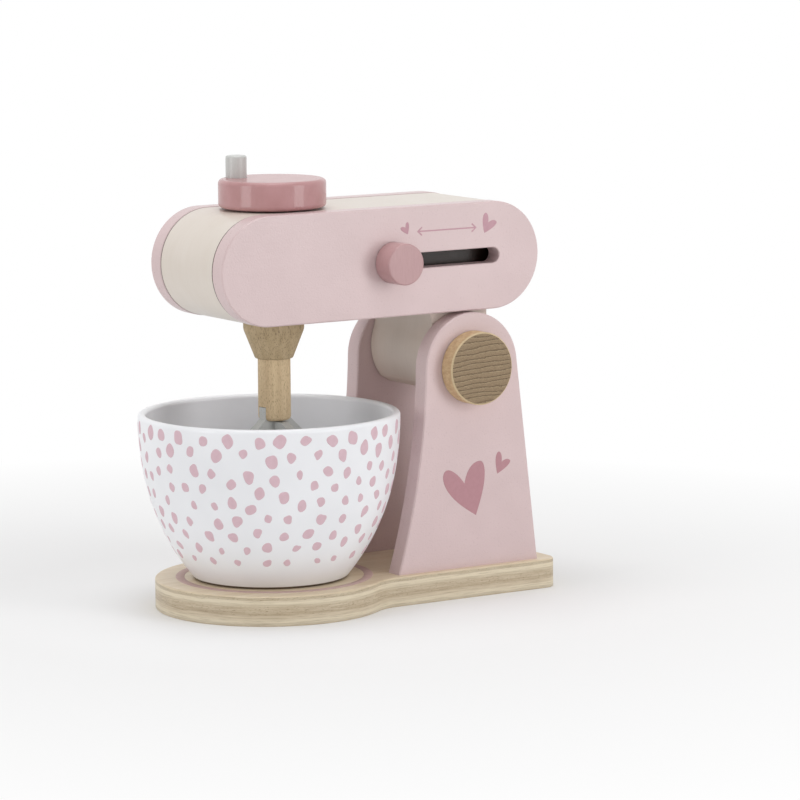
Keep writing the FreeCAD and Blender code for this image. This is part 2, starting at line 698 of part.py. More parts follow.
def make_whisk_shaft():
    """Whisk shaft: a dowel with a rounded end, slotted across for the first blade."""
    body = new_body("whisk_shaft", across="drive_reach", up=SHAFT_BOTTOM, turn="whisk_angle")
    outline = new_sketch(body, "shaft_outline", "XY_Plane")
    draw_circle(outline, "0", "0", "shaft_radius")
    pad(body, "dowel", outline, "shaft_reach + collar_socket - glue_gap")
    dress(body, "Fillet", "end", "shaft_edge_round", flat_at("Z", "0"))
    slot = new_sketch(body, "shaft_slot_outline", "YZ_Plane")
    half = "(blade_thickness / 2 + glue_gap)"
    draw_outline(slot, [
        (f"-{half}", "-shaft_edge_round"),
        (half, "-shaft_edge_round"),
        (half, "shaft_slot_height"),
        (f"-{half}", "shaft_slot_height"),
    ])
    pocket(body, "slot", slot, "4 * shaft_radius", both=True)


def make_whisk_blade(name, turn, tabbed):
    """Whisk blade: a flat balloon with two windows, halved into the other blade at its spine.

    Heights are from the shaft's end. The balloon is one arc down to its widest place, a longer
    side arc below that, and a small round tip, each running smoothly into the next.
    """
    body = new_body(name, across="drive_reach", up=SHAFT_BOTTOM, turn=turn)
    outline = new_sketch(body, f"{name}_outline", "XZ_Plane", "-blade_thickness / 2")
    start = "shaft_slot_height - face_gap" if tabbed else "-2 * face_gap"
    shoulder = "blade_tab_rise" if tabbed else "-2 * face_gap"
    tab = "(shaft_radius - face_gap)"
    wide = "(-blade_shoulder_drop - sqrt(blade_radius^2 - blade_shoulder_width^2))"
    inset = "(blade_side_radius - blade_radius)"
    swing = "(blade_side_radius - blade_tip_radius)"
    sink = f"sqrt({swing}^2 - {inset}^2)"
    tip_centre = f"({wide} - {sink})"
    bend_x = f"(blade_side_radius * {inset} / {swing} - {inset})"
    bend_z = f"({wide} - blade_side_radius * {sink} / {swing})"
    right = [
        (tab, start),
        (tab, shoulder),
        ("blade_shoulder_width", "-blade_shoulder_drop", "0", wide, "right"),
        ("blade_radius", wide, f"-{inset}", wide, "right"),
        (bend_x, bend_z, "0", tip_centre, "right"),
    ]
    left = [
        (f"-{bend_x}", bend_z, inset, wide, "right"),
        ("-blade_radius", wide, "0", wide, "right"),
        ("-blade_shoulder_width", "-blade_shoulder_drop"),
        (f"-{tab}", shoulder),
        (f"-{tab}", start),
    ]
    if not tabbed:
        del right[0]
        del left[-1]
    draw_outline(outline, right + left)
    pad(body, "blade", outline, "blade_thickness")

    windows = new_sketch(body, f"{name}_window_outline", "XZ_Plane", "-blade_thickness / 2")
    spine = "blade_spine_width / 2"
    upper = "(blade_radius - blade_rim_width)"
    side = "(blade_side_radius - blade_rim_width)"
    lower = "(blade_tip_radius - blade_rim_width)"
    top = f"({wide} + sqrt({upper}^2 - (blade_spine_width / 2)^2))"
    foot = f"({tip_centre} - sqrt({lower}^2 - (blade_spine_width / 2)^2))"
    edge_x = f"({side} * {inset} / {swing} - {inset})"
    edge_z = f"({wide} - {side} * {sink} / {swing})"
    draw_outline(windows, [
        (spine, foot, "0", tip_centre, "left"),
        (edge_x, edge_z, f"-{inset}", wide, "left"),
        (upper, wide, "0", wide, "left"),
        (spine, top),
    ])
    draw_outline(windows, [
        (f"-{spine}", top, "0", wide, "left"),
        (f"-{upper}", wide, inset, wide, "left"),
        (f"-{edge_x}", edge_z, "0", tip_centre, "left"),
        (f"-{spine}", foot),
    ])
    pocket(body, "windows", windows, "4 * blade_thickness", both=True)
    corner = value(spine)
    depth = value("blade_thickness")
    dress(body, "Fillet", "window_corners", "blade_window_round",
          lambda edge: abs(edge.BoundBox.YLength - depth) < SAME_PLACE
          and abs(abs(edge.BoundBox.Center.x) - corner) < SAME_PLACE)

    lap = new_sketch(body, f"{name}_lap_outline", "XZ_Plane", "-blade_thickness / 2")
    half = "(blade_thickness / 2 + glue_gap)"
    tip = f"({tip_centre} - 2 * blade_tip_radius)"
    if tabbed:
        low, high = tip, f"{wide} + glue_gap"
    else:
        low, high = f"{wide} - glue_gap", "shaft_slot_height"
    draw_outline(lap, [(f"-{half}", low), (half, low), (half, high), (f"-{half}", high)])
    pocket(body, "lap", lap, "4 * blade_thickness", both=True)


def make_bowl():
    """Bowl: two arcs swell from a rounded foot to a round lip, and the inside follows the wall."""
    body = new_body("bowl", up="board_thickness")
    profile = new_sketch(body, "bowl_profile", "XZ_Plane")
    lip_x = "(bowl_rim_radius - bowl_wall / 2)"
    lip_z = "(bowl_height - bowl_wall / 2)"
    upper_x = "(bowl_rim_radius - bowl_upper_radius)"
    rise = f"({lip_z} - bowl_bend_height)"
    span = f"sqrt(bowl_upper_radius^2 - {rise}^2)"
    bend_x = f"({upper_x} + {span})"
    lower_x = f"({bend_x} - bowl_lower_radius * {span} / bowl_upper_radius)"
    lower_z = f"(bowl_bend_height + bowl_lower_radius * {rise} / bowl_upper_radius)"
    inner_bend_x = f"({bend_x} - bowl_wall * {span} / bowl_upper_radius)"
    inner_bend_z = f"(bowl_bend_height + bowl_wall * {rise} / bowl_upper_radius)"

    foot_reach = "(bowl_lower_radius - bowl_foot_round)"
    foot_drop = f"({lower_z} - bowl_foot_round)"
    foot_run = f"sqrt({foot_reach}^2 - {foot_drop}^2)"
    foot_x = f"({lower_x} + {foot_run})"
    outer_x = f"({lower_x} + bowl_lower_radius * {foot_run} / {foot_reach})"
    outer_z = f"({lower_z} - bowl_lower_radius * {foot_drop} / {foot_reach})"

    inner_lower = "(bowl_lower_radius - bowl_wall)"
    inner_reach = f"({inner_lower} - bowl_inner_round)"
    inner_drop = f"({lower_z} - bowl_floor - bowl_inner_round)"
    inner_run = f"sqrt({inner_reach}^2 - {inner_drop}^2)"
    inner_x = f"({lower_x} + {inner_run})"
    corner_x = f"({lower_x} + {inner_lower} * {inner_run} / {inner_reach})"
    corner_z = f"({lower_z} - {inner_lower} * {inner_drop} / {inner_reach})"
    draw_outline(profile, [
        ("0", "0"),
        (foot_x, "0", foot_x, "bowl_foot_round", "left"),
        (outer_x, outer_z, lower_x, lower_z, "left"),
        (bend_x, "bowl_bend_height", upper_x, lip_z, "left"),
        ("bowl_rim_radius", lip_z, lip_x, lip_z, "left"),
        ("bowl_rim_radius - bowl_wall", lip_z, upper_x, lip_z, "right"),
        (inner_bend_x, inner_bend_z, lower_x, lower_z, "right"),
        (corner_x, corner_z, inner_x, "bowl_floor + bowl_inner_round", "right"),
        (inner_x, "bowl_floor"),
        ("0", "bowl_floor"),
    ])
    revolve(body, "shell", profile)


make_board()
make_cheek("near_cheek", CHEEK_INNER)
make_cheek("far_cheek", f"-{CHEEK_OUTER}")
make_screws()
make_neck()
make_head_core()
make_side_panel("near_side_panel", PANEL_INNER, "head_width / 2")
make_side_panel("far_side_panel", f"-{PANEL_INNER}", "-head_width / 2")
make_dowels()
make_tilt_axle()
make_tilt_knob("near_tilt_knob", True)
make_tilt_knob("far_tilt_knob", False)
make_slider()
make_dial()
make_collar()
make_whisk_shaft()
make_whisk_blade("slotted_whisk_blade", "whisk_angle", True)
make_whisk_blade("crossing_whisk_blade", "whisk_angle + 90", False)
make_bowl()

document.recompute()
for item in document.Objects:
    if "Invalid" in item.State or "Error" in item.State:
        raise SystemExit(f"{item.Label} did not build: {item.State}")
for piece in nodes:
    if piece.Shape.isNull() or not piece.Shape.isValid():
        raise SystemExit(f"{piece.Label} has no valid shape")

os.makedirs("parts", exist_ok=True)
for piece in nodes:
    piece.Shape.exportStep(f"parts/{piece.Label}.step")
    box = piece.Shape.BoundBox
    print(f"{piece.Label}: {len(piece.Shape.Solids)} solid(s), {piece.Shape.Volume / 1000:.2f} cm3, "
          f"X {box.XMin:.1f}..{box.XMax:.1f} Y {box.YMin:.1f}..{box.YMax:.1f} "
          f"Z {box.ZMin:.1f}..{box.ZMax:.1f}")
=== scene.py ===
# %% [markdown]
# A wooden toy stand mixer. Two painted cheeks stand on a plywood board and carry a rounded head,
# which tilts up on an axle. A crank dial on the head turns a whisk in a loose spotted bowl, and a
# knob slides in the head's side.
#
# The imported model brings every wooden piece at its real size, so this lesson dresses it: each
# piece gets the finish that its maker gave it, and what is printed on it is laid on top as thin
# films of ink. Blender works in metres, and the sizes here are written in millimetres.

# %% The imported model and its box
import math

import bpy
import numpy as np
from mathutils import Matrix, Vector


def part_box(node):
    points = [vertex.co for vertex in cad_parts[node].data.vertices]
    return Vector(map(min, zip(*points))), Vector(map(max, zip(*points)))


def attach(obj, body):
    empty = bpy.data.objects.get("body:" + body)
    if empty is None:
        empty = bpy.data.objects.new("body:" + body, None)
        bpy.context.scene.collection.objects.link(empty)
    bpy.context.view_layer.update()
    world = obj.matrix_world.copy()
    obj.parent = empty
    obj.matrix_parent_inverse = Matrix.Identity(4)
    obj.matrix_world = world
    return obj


MM = 0.001
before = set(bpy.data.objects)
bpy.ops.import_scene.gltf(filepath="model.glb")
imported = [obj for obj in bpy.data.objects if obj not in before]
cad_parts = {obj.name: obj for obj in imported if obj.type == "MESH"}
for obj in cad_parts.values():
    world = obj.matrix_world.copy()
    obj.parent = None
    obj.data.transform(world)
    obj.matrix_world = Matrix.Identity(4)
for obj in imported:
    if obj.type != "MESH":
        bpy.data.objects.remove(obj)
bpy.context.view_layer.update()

# %% [markdown]
# Every finish below is a Principled shader with a pattern plugged into it. Building node trees by
# hand is wordy, so one helper adds a node, sets its own settings and fills its inputs. An input
# may be a number, a colour or the output of another node, and the helper links the last kind.
# Colours are written as sRGB hex values, as a paint chart gives them, and turned to linear light.

# %% Helpers for nodes and colours
def paint_colour(text):
    """Linear colour of an sRGB hex value: each channel undoes the screen's curve."""
    channels = [int(text[place:place + 2], 16) / 255 for place in (0, 2, 4)]
    linear = [part / 12.92 if part <= 0.04045 else ((part + 0.055) / 1.055) ** 2.4 for part in channels]
    return (*linear, 1.0)


def add(tree, kind, inputs, **settings):
    """Add one shader node with its settings, and fill its inputs by name or by number."""
    made = tree.nodes.new("ShaderNode" + kind)
    for name, setting in settings.items():
        setattr(made, name, setting)
    for name, given in inputs.items():
        if isinstance(given, bpy.types.NodeSocket):
            tree.links.new(given, made.inputs[name])
        else:
            made.inputs[name].default_value = given
    return made


def empty_tree(owner):
    """Switch a material or the world to nodes, and hand over its tree with nothing in it."""
    owner.use_nodes = True
    owner.node_tree.nodes.clear()
    return owner.node_tree


def start_finish(name, roughness, **sockets):
    """A material with one Principled shader, and the place on the piece as its pattern's ground."""
    material = bpy.data.materials.new(name)
    tree = empty_tree(material)
    shader = add(tree, "BsdfPrincipled", {"Roughness": roughness, **sockets})
    output = add(tree, "OutputMaterial", {"Surface": shader.outputs[0]})
    output.is_active_output = True
    place = add(tree, "TexCoord", {})
    return material, tree, shader, place


print("the chart's D8C1C1 in linear light:", [round(part, 3) for part in paint_colour("D8C1C1")[:3]])

# %% [markdown]
# Clouds in a paint, grain and flecks all come from noise, which is a soft random value around one
# half. What tells them apart is the size of a cell: round cells look like clouds, and long thin
# ones like the fibres of wood. So every pattern starts from the size of its cells in millimetres,
# and the range that its noise really uses is then stretched to the range that the finish needs.

# %% Helpers for patterns
NOISE_REACH = (0.35, 0.65)
WIDE_REACH = (0.3, 0.7)


def stretched(tree, place, sizes):
    """The place on the piece, scaled to cells of one size in millimetres, or of one along each axis."""
    scale = tuple(1 / (size * MM) for size in np.broadcast_to(sizes, 3).tolist())
    return add(tree, "Mapping", {"Vector": place.outputs["Object"], "Scale": scale}).outputs[0]


def noise(tree, ground, detail=2.0, rough=0.5, distort=0.0):
    """Soft random value around one half, one bump per unit of the ground."""
    inputs = {"Vector": ground, "Scale": 1.0, "Detail": detail, "Roughness": rough, "Distortion": distort}
    return add(tree, "TexNoise", inputs).outputs["Fac"]


def spread(tree, amount, low, high, start=0.0, end=1.0):
    """Stretch a value's range from low..high to start..end and cut off what lies outside."""
    inputs = {"Value": amount, "From Min": low, "From Max": high, "To Min": start, "To Max": end}
    return add(tree, "MapRange", inputs).outputs[0]


def work_out(tree, operation, *given):
    """One step of arithmetic on the values given."""
    return add(tree, "Math", dict(enumerate(given)), operation=operation).outputs[0]


def blend_colour(tree, amount, first, second):
    """Go from the first colour to the second as the amount goes from 0 to 1."""
    return add(tree, "Mix", {0: amount, 6: first, 7: second}, data_type="RGBA").outputs[2]


def clouded(tree, place, cell, hue, shade, detail=2.0):
    """Colour that drifts from a hue to its shade in cells of a size, and the noise that moves it."""
    cloud = noise(tree, stretched(tree, place, cell), detail)
    share = spread(tree, cloud, *NOISE_REACH)
    return blend_colour(tree, share, paint_colour(hue), paint_colour(shade)), cloud


def raise_surface(tree, shader, height, depth):
    """Bump the surface by a height pattern that is so many millimetres deep."""
    inputs = {"Height": height, "Distance": depth * MM}
    tree.links.new(add(tree, "Bump", inputs).outputs[0], shader.inputs["Normal"])


print("a pattern's noise is taken to run from", NOISE_REACH[0], "to", NOISE_REACH[1])

# %% [markdown]
# The pink boards and the cream middle of the head are sprayed with a water based satin paint. The
# real coat is thin, so the tooth of the wood still shows as a fine bump where light grazes it, and
# the colour wanders a little where the coat is thicker. A cloudy noise drives the colour, and a
# fine one the bump and the sheen. The real tooth is too fine for the picture and is drawn about
# three times as coarse. All but the pink boards show faint streaks of grain through the paint.

# %% Satin paint on wood
PAINT_CLOUD = 26
PAINT_TOOTH = 0.9
FIBRE_BUMP = 0.6
SHINIER, DULLER = -0.05, 0.06


def satin_paint(name, hue, shade, tooth, grain, roughness=0.42, gloss=0.5, streak=0.0, cover=None):
    """Satin acrylic paint, sprayed on sanded wood: soft sheen, fine tooth, faintly cloudy.

    The tooth is the depth of its bump and the grain the size of a fibre, in millimetres. The
    streak says how far the fibres come through the colour, and a cover goes over the colour.
    """
    material, tree, shader, place = start_finish(name, roughness, **{"Specular IOR Level": gloss})
    cloud = spread(tree, noise(tree, stretched(tree, place, PAINT_CLOUD)), *NOISE_REACH)
    fibre = noise(tree, stretched(tree, place, grain), detail=4.0, rough=0.6)
    mixed = work_out(tree, "MULTIPLY_ADD", spread(tree, fibre, *NOISE_REACH), streak, cloud)
    share = spread(tree, mixed, 0.0, 1.0 + streak)
    colour = blend_colour(tree, share, paint_colour(hue), paint_colour(shade))
    if cover:
        colour = cover(tree, place, colour)
    tree.links.new(colour, shader.inputs["Base Color"])
    fine = noise(tree, stretched(tree, place, PAINT_TOOTH), detail=3.0)
    sheen = spread(tree, fine, *WIDE_REACH, roughness + SHINIER, roughness + DULLER)
    tree.links.new(sheen, shader.inputs["Roughness"])
    height = work_out(tree, "ADD", fine, work_out(tree, "MULTIPLY", fibre, FIBRE_BUMP))
    raise_surface(tree, shader, height, tooth)
    return material


pink_paint = satin_paint("satin_pink_paint", "D8C1C1", "D4BDBD", tooth=0.07, grain=(14, 2.2, 1.6),
                         roughness=0.31)
grey_paint = satin_paint("satin_grey_paint", "CACBC8", "C4C5C2", tooth=0.05, grain=(1.0, 1.0, 7),
                         roughness=0.3, streak=0.5)
rose_satin = satin_paint("satin_rose_paint", "BD9697", "B28B8C", tooth=0.1, grain=(0.7, 0.7, 5),
                         roughness=0.34, streak=0.7)
print("mixed", pink_paint.name, grey_paint.name, "and", rose_satin.name)

# %% [markdown]
# The slot for the slider is dark inside, and that dark is painted shade: a deep brown is painted over
# the cream where the pocket lies. It is as long as the shoe and its travel, with some room to spare.
# Where the two pink boards are glued on, a hair of the joint stays open, and the shade in it is
# painted as a dark line. Both are shares of the surface that are known from its place, so they lie
# over the paint as a cover. The neck below wears the same cream, painted a little browner as painted
# shade, for it sits under the head.

# %% Cream paint, with painted shade in its pocket and its joints
CORE_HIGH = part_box("head_core")[1]
SHOE_LOW, SHOE_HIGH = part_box("slider_shoe")
SLIDE = 60 * MM
POCKET_SPARE = 4 * MM
POCKET_EDGE = 0.1 * MM
POCKET_SHADE_FIBRE = (9, 0.6, 0.6)
JOINT = 0.7 * MM


def all_of(tree, *shares):
    """Multiply shares together, so the result is one only where every one of them is."""
    result = shares[0]
    for share in shares[1:]:
        result = work_out(tree, "MULTIPLY", result, share)
    return result


def between(tree, value, low, high, soft):
    """One from low to high and zero outside, with edges that take up so much of the value."""
    rise = spread(tree, value, low, low + soft)
    fall = spread(tree, value, high - soft, high, 1.0, 0.0)
    return all_of(tree, rise, fall)


def painted_pocket_and_seam_shade(tree, place, colour):
    """Cover the paint with painted shade: dark brown inside the pocket and a dark hair beside each board."""
    axes = add(tree, "SeparateXYZ", {0: place.outputs["Object"]}).outputs
    ends = (SHOE_LOW.x - POCKET_SPARE, SHOE_HIGH.x + SLIDE + POCKET_SPARE)
    sides = (SHOE_LOW.z - POCKET_SPARE, SHOE_HIGH.z + POCKET_SPARE)
    pocket = all_of(tree, between(tree, axes["X"], *ends, POCKET_EDGE),
                    between(tree, axes["Z"], *sides, POCKET_EDGE))
    # painted shade: the pocket is covered with streaked dark brown, for the shade inside the slot
    fibre = noise(tree, stretched(tree, place, POCKET_SHADE_FIBRE), detail=3.0)
    pocket_shade_streaks = spread(tree, fibre, *WIDE_REACH)
    pocket_shade = blend_colour(tree, pocket_shade_streaks, paint_colour("2E1B13"), paint_colour("1B100A"))
    # painted shade: a dark line where each pink board meets the cream, for the shade in the open joint
    sideways = work_out(tree, "ABSOLUTE", axes["Y"])
    seam_shade = spread(tree, sideways, CORE_HIGH.y - JOINT, CORE_HIGH.y - 0.5 * JOINT)
    colour = blend_colour(tree, seam_shade, colour, paint_colour("584640"))
    return blend_colour(tree, pocket, colour, pocket_shade)


cream_paint = satin_paint("satin_cream_paint", "E1D8CF", "DCD2C7", tooth=0.04, grain=(18, 1.6, 18),
                          roughness=0.34, gloss=0.32, streak=0.4, cover=painted_pocket_and_seam_shade)
# painted shade: the neck's cream is a darker, browner copy, for the shade under the head
shaded_neck_paint = satin_paint("satin_cream_paint_shaded_neck", "DACDC2", "D3C5B9", tooth=0.04, grain=(18, 1.6, 18),
                         streak=0.4)
print("mixed", cream_paint.name, "and", shaded_neck_paint.name)

# %% [markdown]
# The dial wears a gloss lacquer over the rose colour. It levels out while it dries, so the surface
# is a mirror with a slight orange peel, and the grain under it breaks up the edges of its lights.
# A clear coat on the shader gives those sharp lights over the softer colour.

# %% Gloss lacquer
LACQUER_CLOUD = 9
PEEL = 1.8
LACQUER_GRAIN = (0.6, 0.6, 2.4)
GRAIN_BUMP = 0.7
LACQUER_DEPTH = 0.09


def gloss_lacquer(name, hue, shade):
    """Rose gloss lacquer: a clear levelled coat with a slow orange peel over solid colour."""
    coat = {"Coat Weight": 0.4, "Coat Roughness": 0.09, "Specular IOR Level": 0.2}
    material, tree, shader, place = start_finish(name, roughness=0.34, **coat)
    colour, _ = clouded(tree, place, LACQUER_CLOUD, hue, shade)
    tree.links.new(colour, shader.inputs["Base Color"])
    peel = noise(tree, stretched(tree, place, PEEL), detail=1.0)
    grain = noise(tree, stretched(tree, place, LACQUER_GRAIN))
    raise_surface(tree, shader, work_out(tree, "MULTIPLY_ADD", grain, GRAIN_BUMP, peel), LACQUER_DEPTH)
    return material


rose_gloss = gloss_lacquer("gloss_rose_lacquer", "BD8F90", "B78989")
print("mixed", rose_gloss.name, "with orange peel every", PEEL, "mm")

# %% [markdown]
# The collar and the shaft are bare beech, turned with the grain upright, sanded and lightly oiled.
# Beech shows two things: soft broad stripes where the growth rings are cut, and short dark flecks
# that run with the grain. Both are noises stretched along the grain, the flecks cut off hard. The
# hidden dowels are the same wood, raw.

# %% Bare beech, turned
FLECK_CUT = (0.56, 0.68)
STRIPE_SHARE, FIBRE_SHARE, FLECK_SHARE = 0.55, 0.45, 0.75
FIBRE_TO_FLECK = 0.6
BEECH_DEPTH = 0.08


def turned_beech(name, light, dark, fleck_hue, stripe, fleck):
    """Sanded beech: broad stripes and short dark flecks, both along the grain.

    The stripe and the fleck are given as the size of one along each axis, in millimetres.
    """
    material, tree, shader, place = start_finish(name, roughness=0.6)
    fibre_size = [size * FIBRE_TO_FLECK for size in fleck]
    fibre = noise(tree, stretched(tree, place, fibre_size), detail=4.0, rough=0.65)
    flecks = spread(tree, noise(tree, stretched(tree, place, fleck), detail=1.5), *FLECK_CUT)
    broad = spread(tree, noise(tree, stretched(tree, place, stripe)), *NOISE_REACH, 0.0, STRIPE_SHARE)
    tone = work_out(tree, "MULTIPLY_ADD", spread(tree, fibre, *WIDE_REACH), FIBRE_SHARE, broad)
    colour = blend_colour(tree, tone, paint_colour(light), paint_colour(dark))
    marks = work_out(tree, "MULTIPLY", flecks, FLECK_SHARE)
    colour = blend_colour(tree, marks, colour, paint_colour(fleck_hue))
    tree.links.new(colour, shader.inputs["Base Color"])
    raise_surface(tree, shader, work_out(tree, "SUBTRACT", fibre, flecks), BEECH_DEPTH)
    return material


upright_beech = turned_beech("beech_turned", "C6B08D", "AB9571", "7A674C",
                             stripe=(3.0, 3.0, 70), fleck=(0.45, 0.45, 2.6))
# painted light: the shaft's beech is a paler copy, for the light on the upright shaft, while the collar
# faces down
lit_shaft_beech = turned_beech("beech_dowel_painted_paler", "E2CBA4", "C9AE88", "A98F6C",
                           stripe=(2.4, 2.4, 90), fleck=(0.4, 0.4, 1.6))
hidden_beech = turned_beech("beech_dowel", "C8B08A", "B09871", "8C7652",
                            stripe=(70, 3.0, 3.0), fleck=(2.6, 0.5, 0.5))
print("sanded", upright_beech.name, lit_shaft_beech.name, "and", hidden_beech.name)

# %% [markdown]
# The tilt knobs are cut across a beech board, so the growth rings come out on their faces as wavy
# steps. Soft early wood sands lower than hard late wood, so each step ends in a dark line, and a
# painted highlight lies as a light lip under it, where the step's edge would catch the light. A saw
# wave over the height makes the steps: it climbs through each ring and drops at its end. A slow
# noise bends it and a quick one frays it. How far the surface turns to the knob's axis, as a cosine,
# tells the flat face from the rim, whose burnished corner is the palest part of the knob.

# %% Beech of the tilt knobs
RING_STEP = 2.6 * MM
RING_SWAY = 5.5 * MM
RING_FRAY = 1.0 * MM
RING_SLOPE = -0.07
LATE_WOOD = (0.76, 0.97)
LIP_HIGHLIGHT = (0.16, 0.02)
LINE_SHARE, LIP_HIGHLIGHT_SHARE = 0.7, 0.5
CORNER_TURN = (0.5, 0.75)
FACE_TURN = (0.93, 0.99)
SWAY_CELL, FRAY_CELL = (24, 30, 9), (1.6, 1.6, 0.8)
FUZZ_CELL, SIDE_CLOUD = (1.8, 1.8, 0.45), (2.2, 5, 2.2)
CLIMB_TONE, FUZZ_TONE = 0.3, 0.7
CLIMB_BUMP, LINE_BUMP, FUZZ_BUMP = -0.5, -0.9, 1.1
KNOB_DEPTH = 0.4


def growth_steps(tree, place, axes):
    """Saw wave over the height: how far it has climbed through a ring is what a division leaves."""
    slow = noise(tree, stretched(tree, place, SWAY_CELL), detail=1.5)
    quick = noise(tree, stretched(tree, place, FRAY_CELL))
    bent = work_out(tree, "MULTIPLY_ADD", slow, RING_SWAY, axes["Z"])
    bent = work_out(tree, "MULTIPLY_ADD", quick, RING_FRAY, bent)
    bent = work_out(tree, "MULTIPLY_ADD", axes["X"], RING_SLOPE, bent)
    rings = work_out(tree, "DIVIDE", bent, RING_STEP)
    return work_out(tree, "SUBTRACT", 1.0, work_out(tree, "FRACT", rings))


def knob_beech():
    """Beech with stepped growth rings on its flat faces, a pale corner and a smooth warm side."""
    material, tree, shader, place = start_finish("beech_knob_face", roughness=0.62)
    axes = add(tree, "SeparateXYZ", {0: place.outputs["Object"]}).outputs
    climb = growth_steps(tree, place, axes)
    line = spread(tree, climb, *LATE_WOOD)
    lip_highlight = spread(tree, climb, *LIP_HIGHLIGHT)
    fuzz = noise(tree, stretched(tree, place, FUZZ_CELL), detail=4.0, rough=0.75)
    rough_tone = spread(tree, fuzz, *WIDE_REACH, 0.0, FUZZ_TONE)
    tone = work_out(tree, "MULTIPLY_ADD", climb, CLIMB_TONE, rough_tone)
    face = blend_colour(tree, tone, paint_colour("AC9575"), paint_colour("7A654C"))
    face = blend_colour(tree, work_out(tree, "MULTIPLY", line, LINE_SHARE), face, paint_colour("6B573F"))
    # painted highlight: a light lip under each dark ring line
    face = blend_colour(tree, work_out(tree, "MULTIPLY", lip_highlight, LIP_HIGHLIGHT_SHARE), face, paint_colour("BEA989"))
    cloud = noise(tree, stretched(tree, place, SIDE_CLOUD), detail=4.0, rough=0.7)
    cloud = spread(tree, cloud, *NOISE_REACH)
    side = blend_colour(tree, cloud, paint_colour("D6BC92"), paint_colour("BF9E78"))
    normal = add(tree, "SeparateXYZ", {0: place.outputs["Normal"]}).outputs["Y"]
    facing = work_out(tree, "ABSOLUTE", normal)
    flat = spread(tree, facing, *FACE_TURN)
    corner = all_of(tree, spread(tree, facing, *CORNER_TURN), work_out(tree, "SUBTRACT", 1.0, flat))
    colour = blend_colour(tree, flat, side, face)
    colour = blend_colour(tree, corner, colour, paint_colour("D2BD98"))
    tree.links.new(colour, shader.inputs["Base Color"])
    steps = work_out(tree, "MULTIPLY_ADD", climb, CLIMB_BUMP, 1.0)
    steps = work_out(tree, "MULTIPLY_ADD", line, LINE_BUMP, steps)
    steps = work_out(tree, "MULTIPLY", steps, flat)
    raise_surface(tree, shader, work_out(tree, "MULTIPLY_ADD", fuzz, FUZZ_BUMP, steps), KNOB_DEPTH)
    return material


knob_finish = knob_beech()
print("the knobs show a growth ring every", round(RING_STEP / MM, 1), "mm")

# %% [markdown]
# The board is birch plywood. Its broad faces are one veneer with faint cathedral grain along the
# board. On the edge the plies lie crossed: the ones that run along the edge are pale and smooth,
# and the ones cut across are darker and full of short strokes. A colour ramp over the height
# holds the plies, each with its own thickness and colour, and fine noises sag and streak them.
# How far the surface turns up or down, as a cosine, tells the broad faces from the edge.

# %% Birch plywood
BOARD_LOW, BOARD_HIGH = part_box("base_board")
PLIES = [(0.00, 0.08, "CBBEA6"), (0.13, 0.20, "DDD0B7"), (0.25, 0.33, "CFBFA5"), (0.38, 0.47, "BBA98E"),
         (0.50, 0.62, "C4B398"), (0.66, 0.70, "CDBEA3"), (0.75, 0.84, "E0D3B9"), (0.87, 0.94, "C3B398"),
         (0.97, 1.00, "D6C5A8")]
CUT_ACROSS = ((0.34, 0.68, 0.04), (0.85, 0.97, 0.02))
PLY_SAG = 1.4 * MM
SAG_CELL = 20
STREAK_CELL, DASH_CELL = (14, 14, 0.55), (1.6, 1.6, 0.28)
STREAK_DARK, STREAK_PALE = (0.5, 0.75), (0.5, 0.25)
STREAK_SHARE, DASH_SHARE = 0.6, 0.7
DASH_CUT = (0.60, 0.74)
VENEER_CELL = (60, 3.2, 60)
VENEER_REACH = (0.36, 0.66)
BROAD_TURN = (0.6, 0.8)
VENEER_BUMP = 0.3
PLY_DEPTH = 0.12


def ply_colours(tree, share):
    """Colour ramp up the edge: each ply is flat from its low to its high share of the height."""
    ramp = add(tree, "ValToRGB", {0: share})
    stops = [(end, hue) for low, high, hue in PLIES for end in (low, high)]
    rungs = ramp.color_ramp.elements
    while len(rungs) < len(stops):
        rungs.new(1.0)
    for rung, (end, hue) in zip(rungs, stops):
        rung.position = end
        rung.color = paint_colour(hue)
    return ramp.outputs[0]


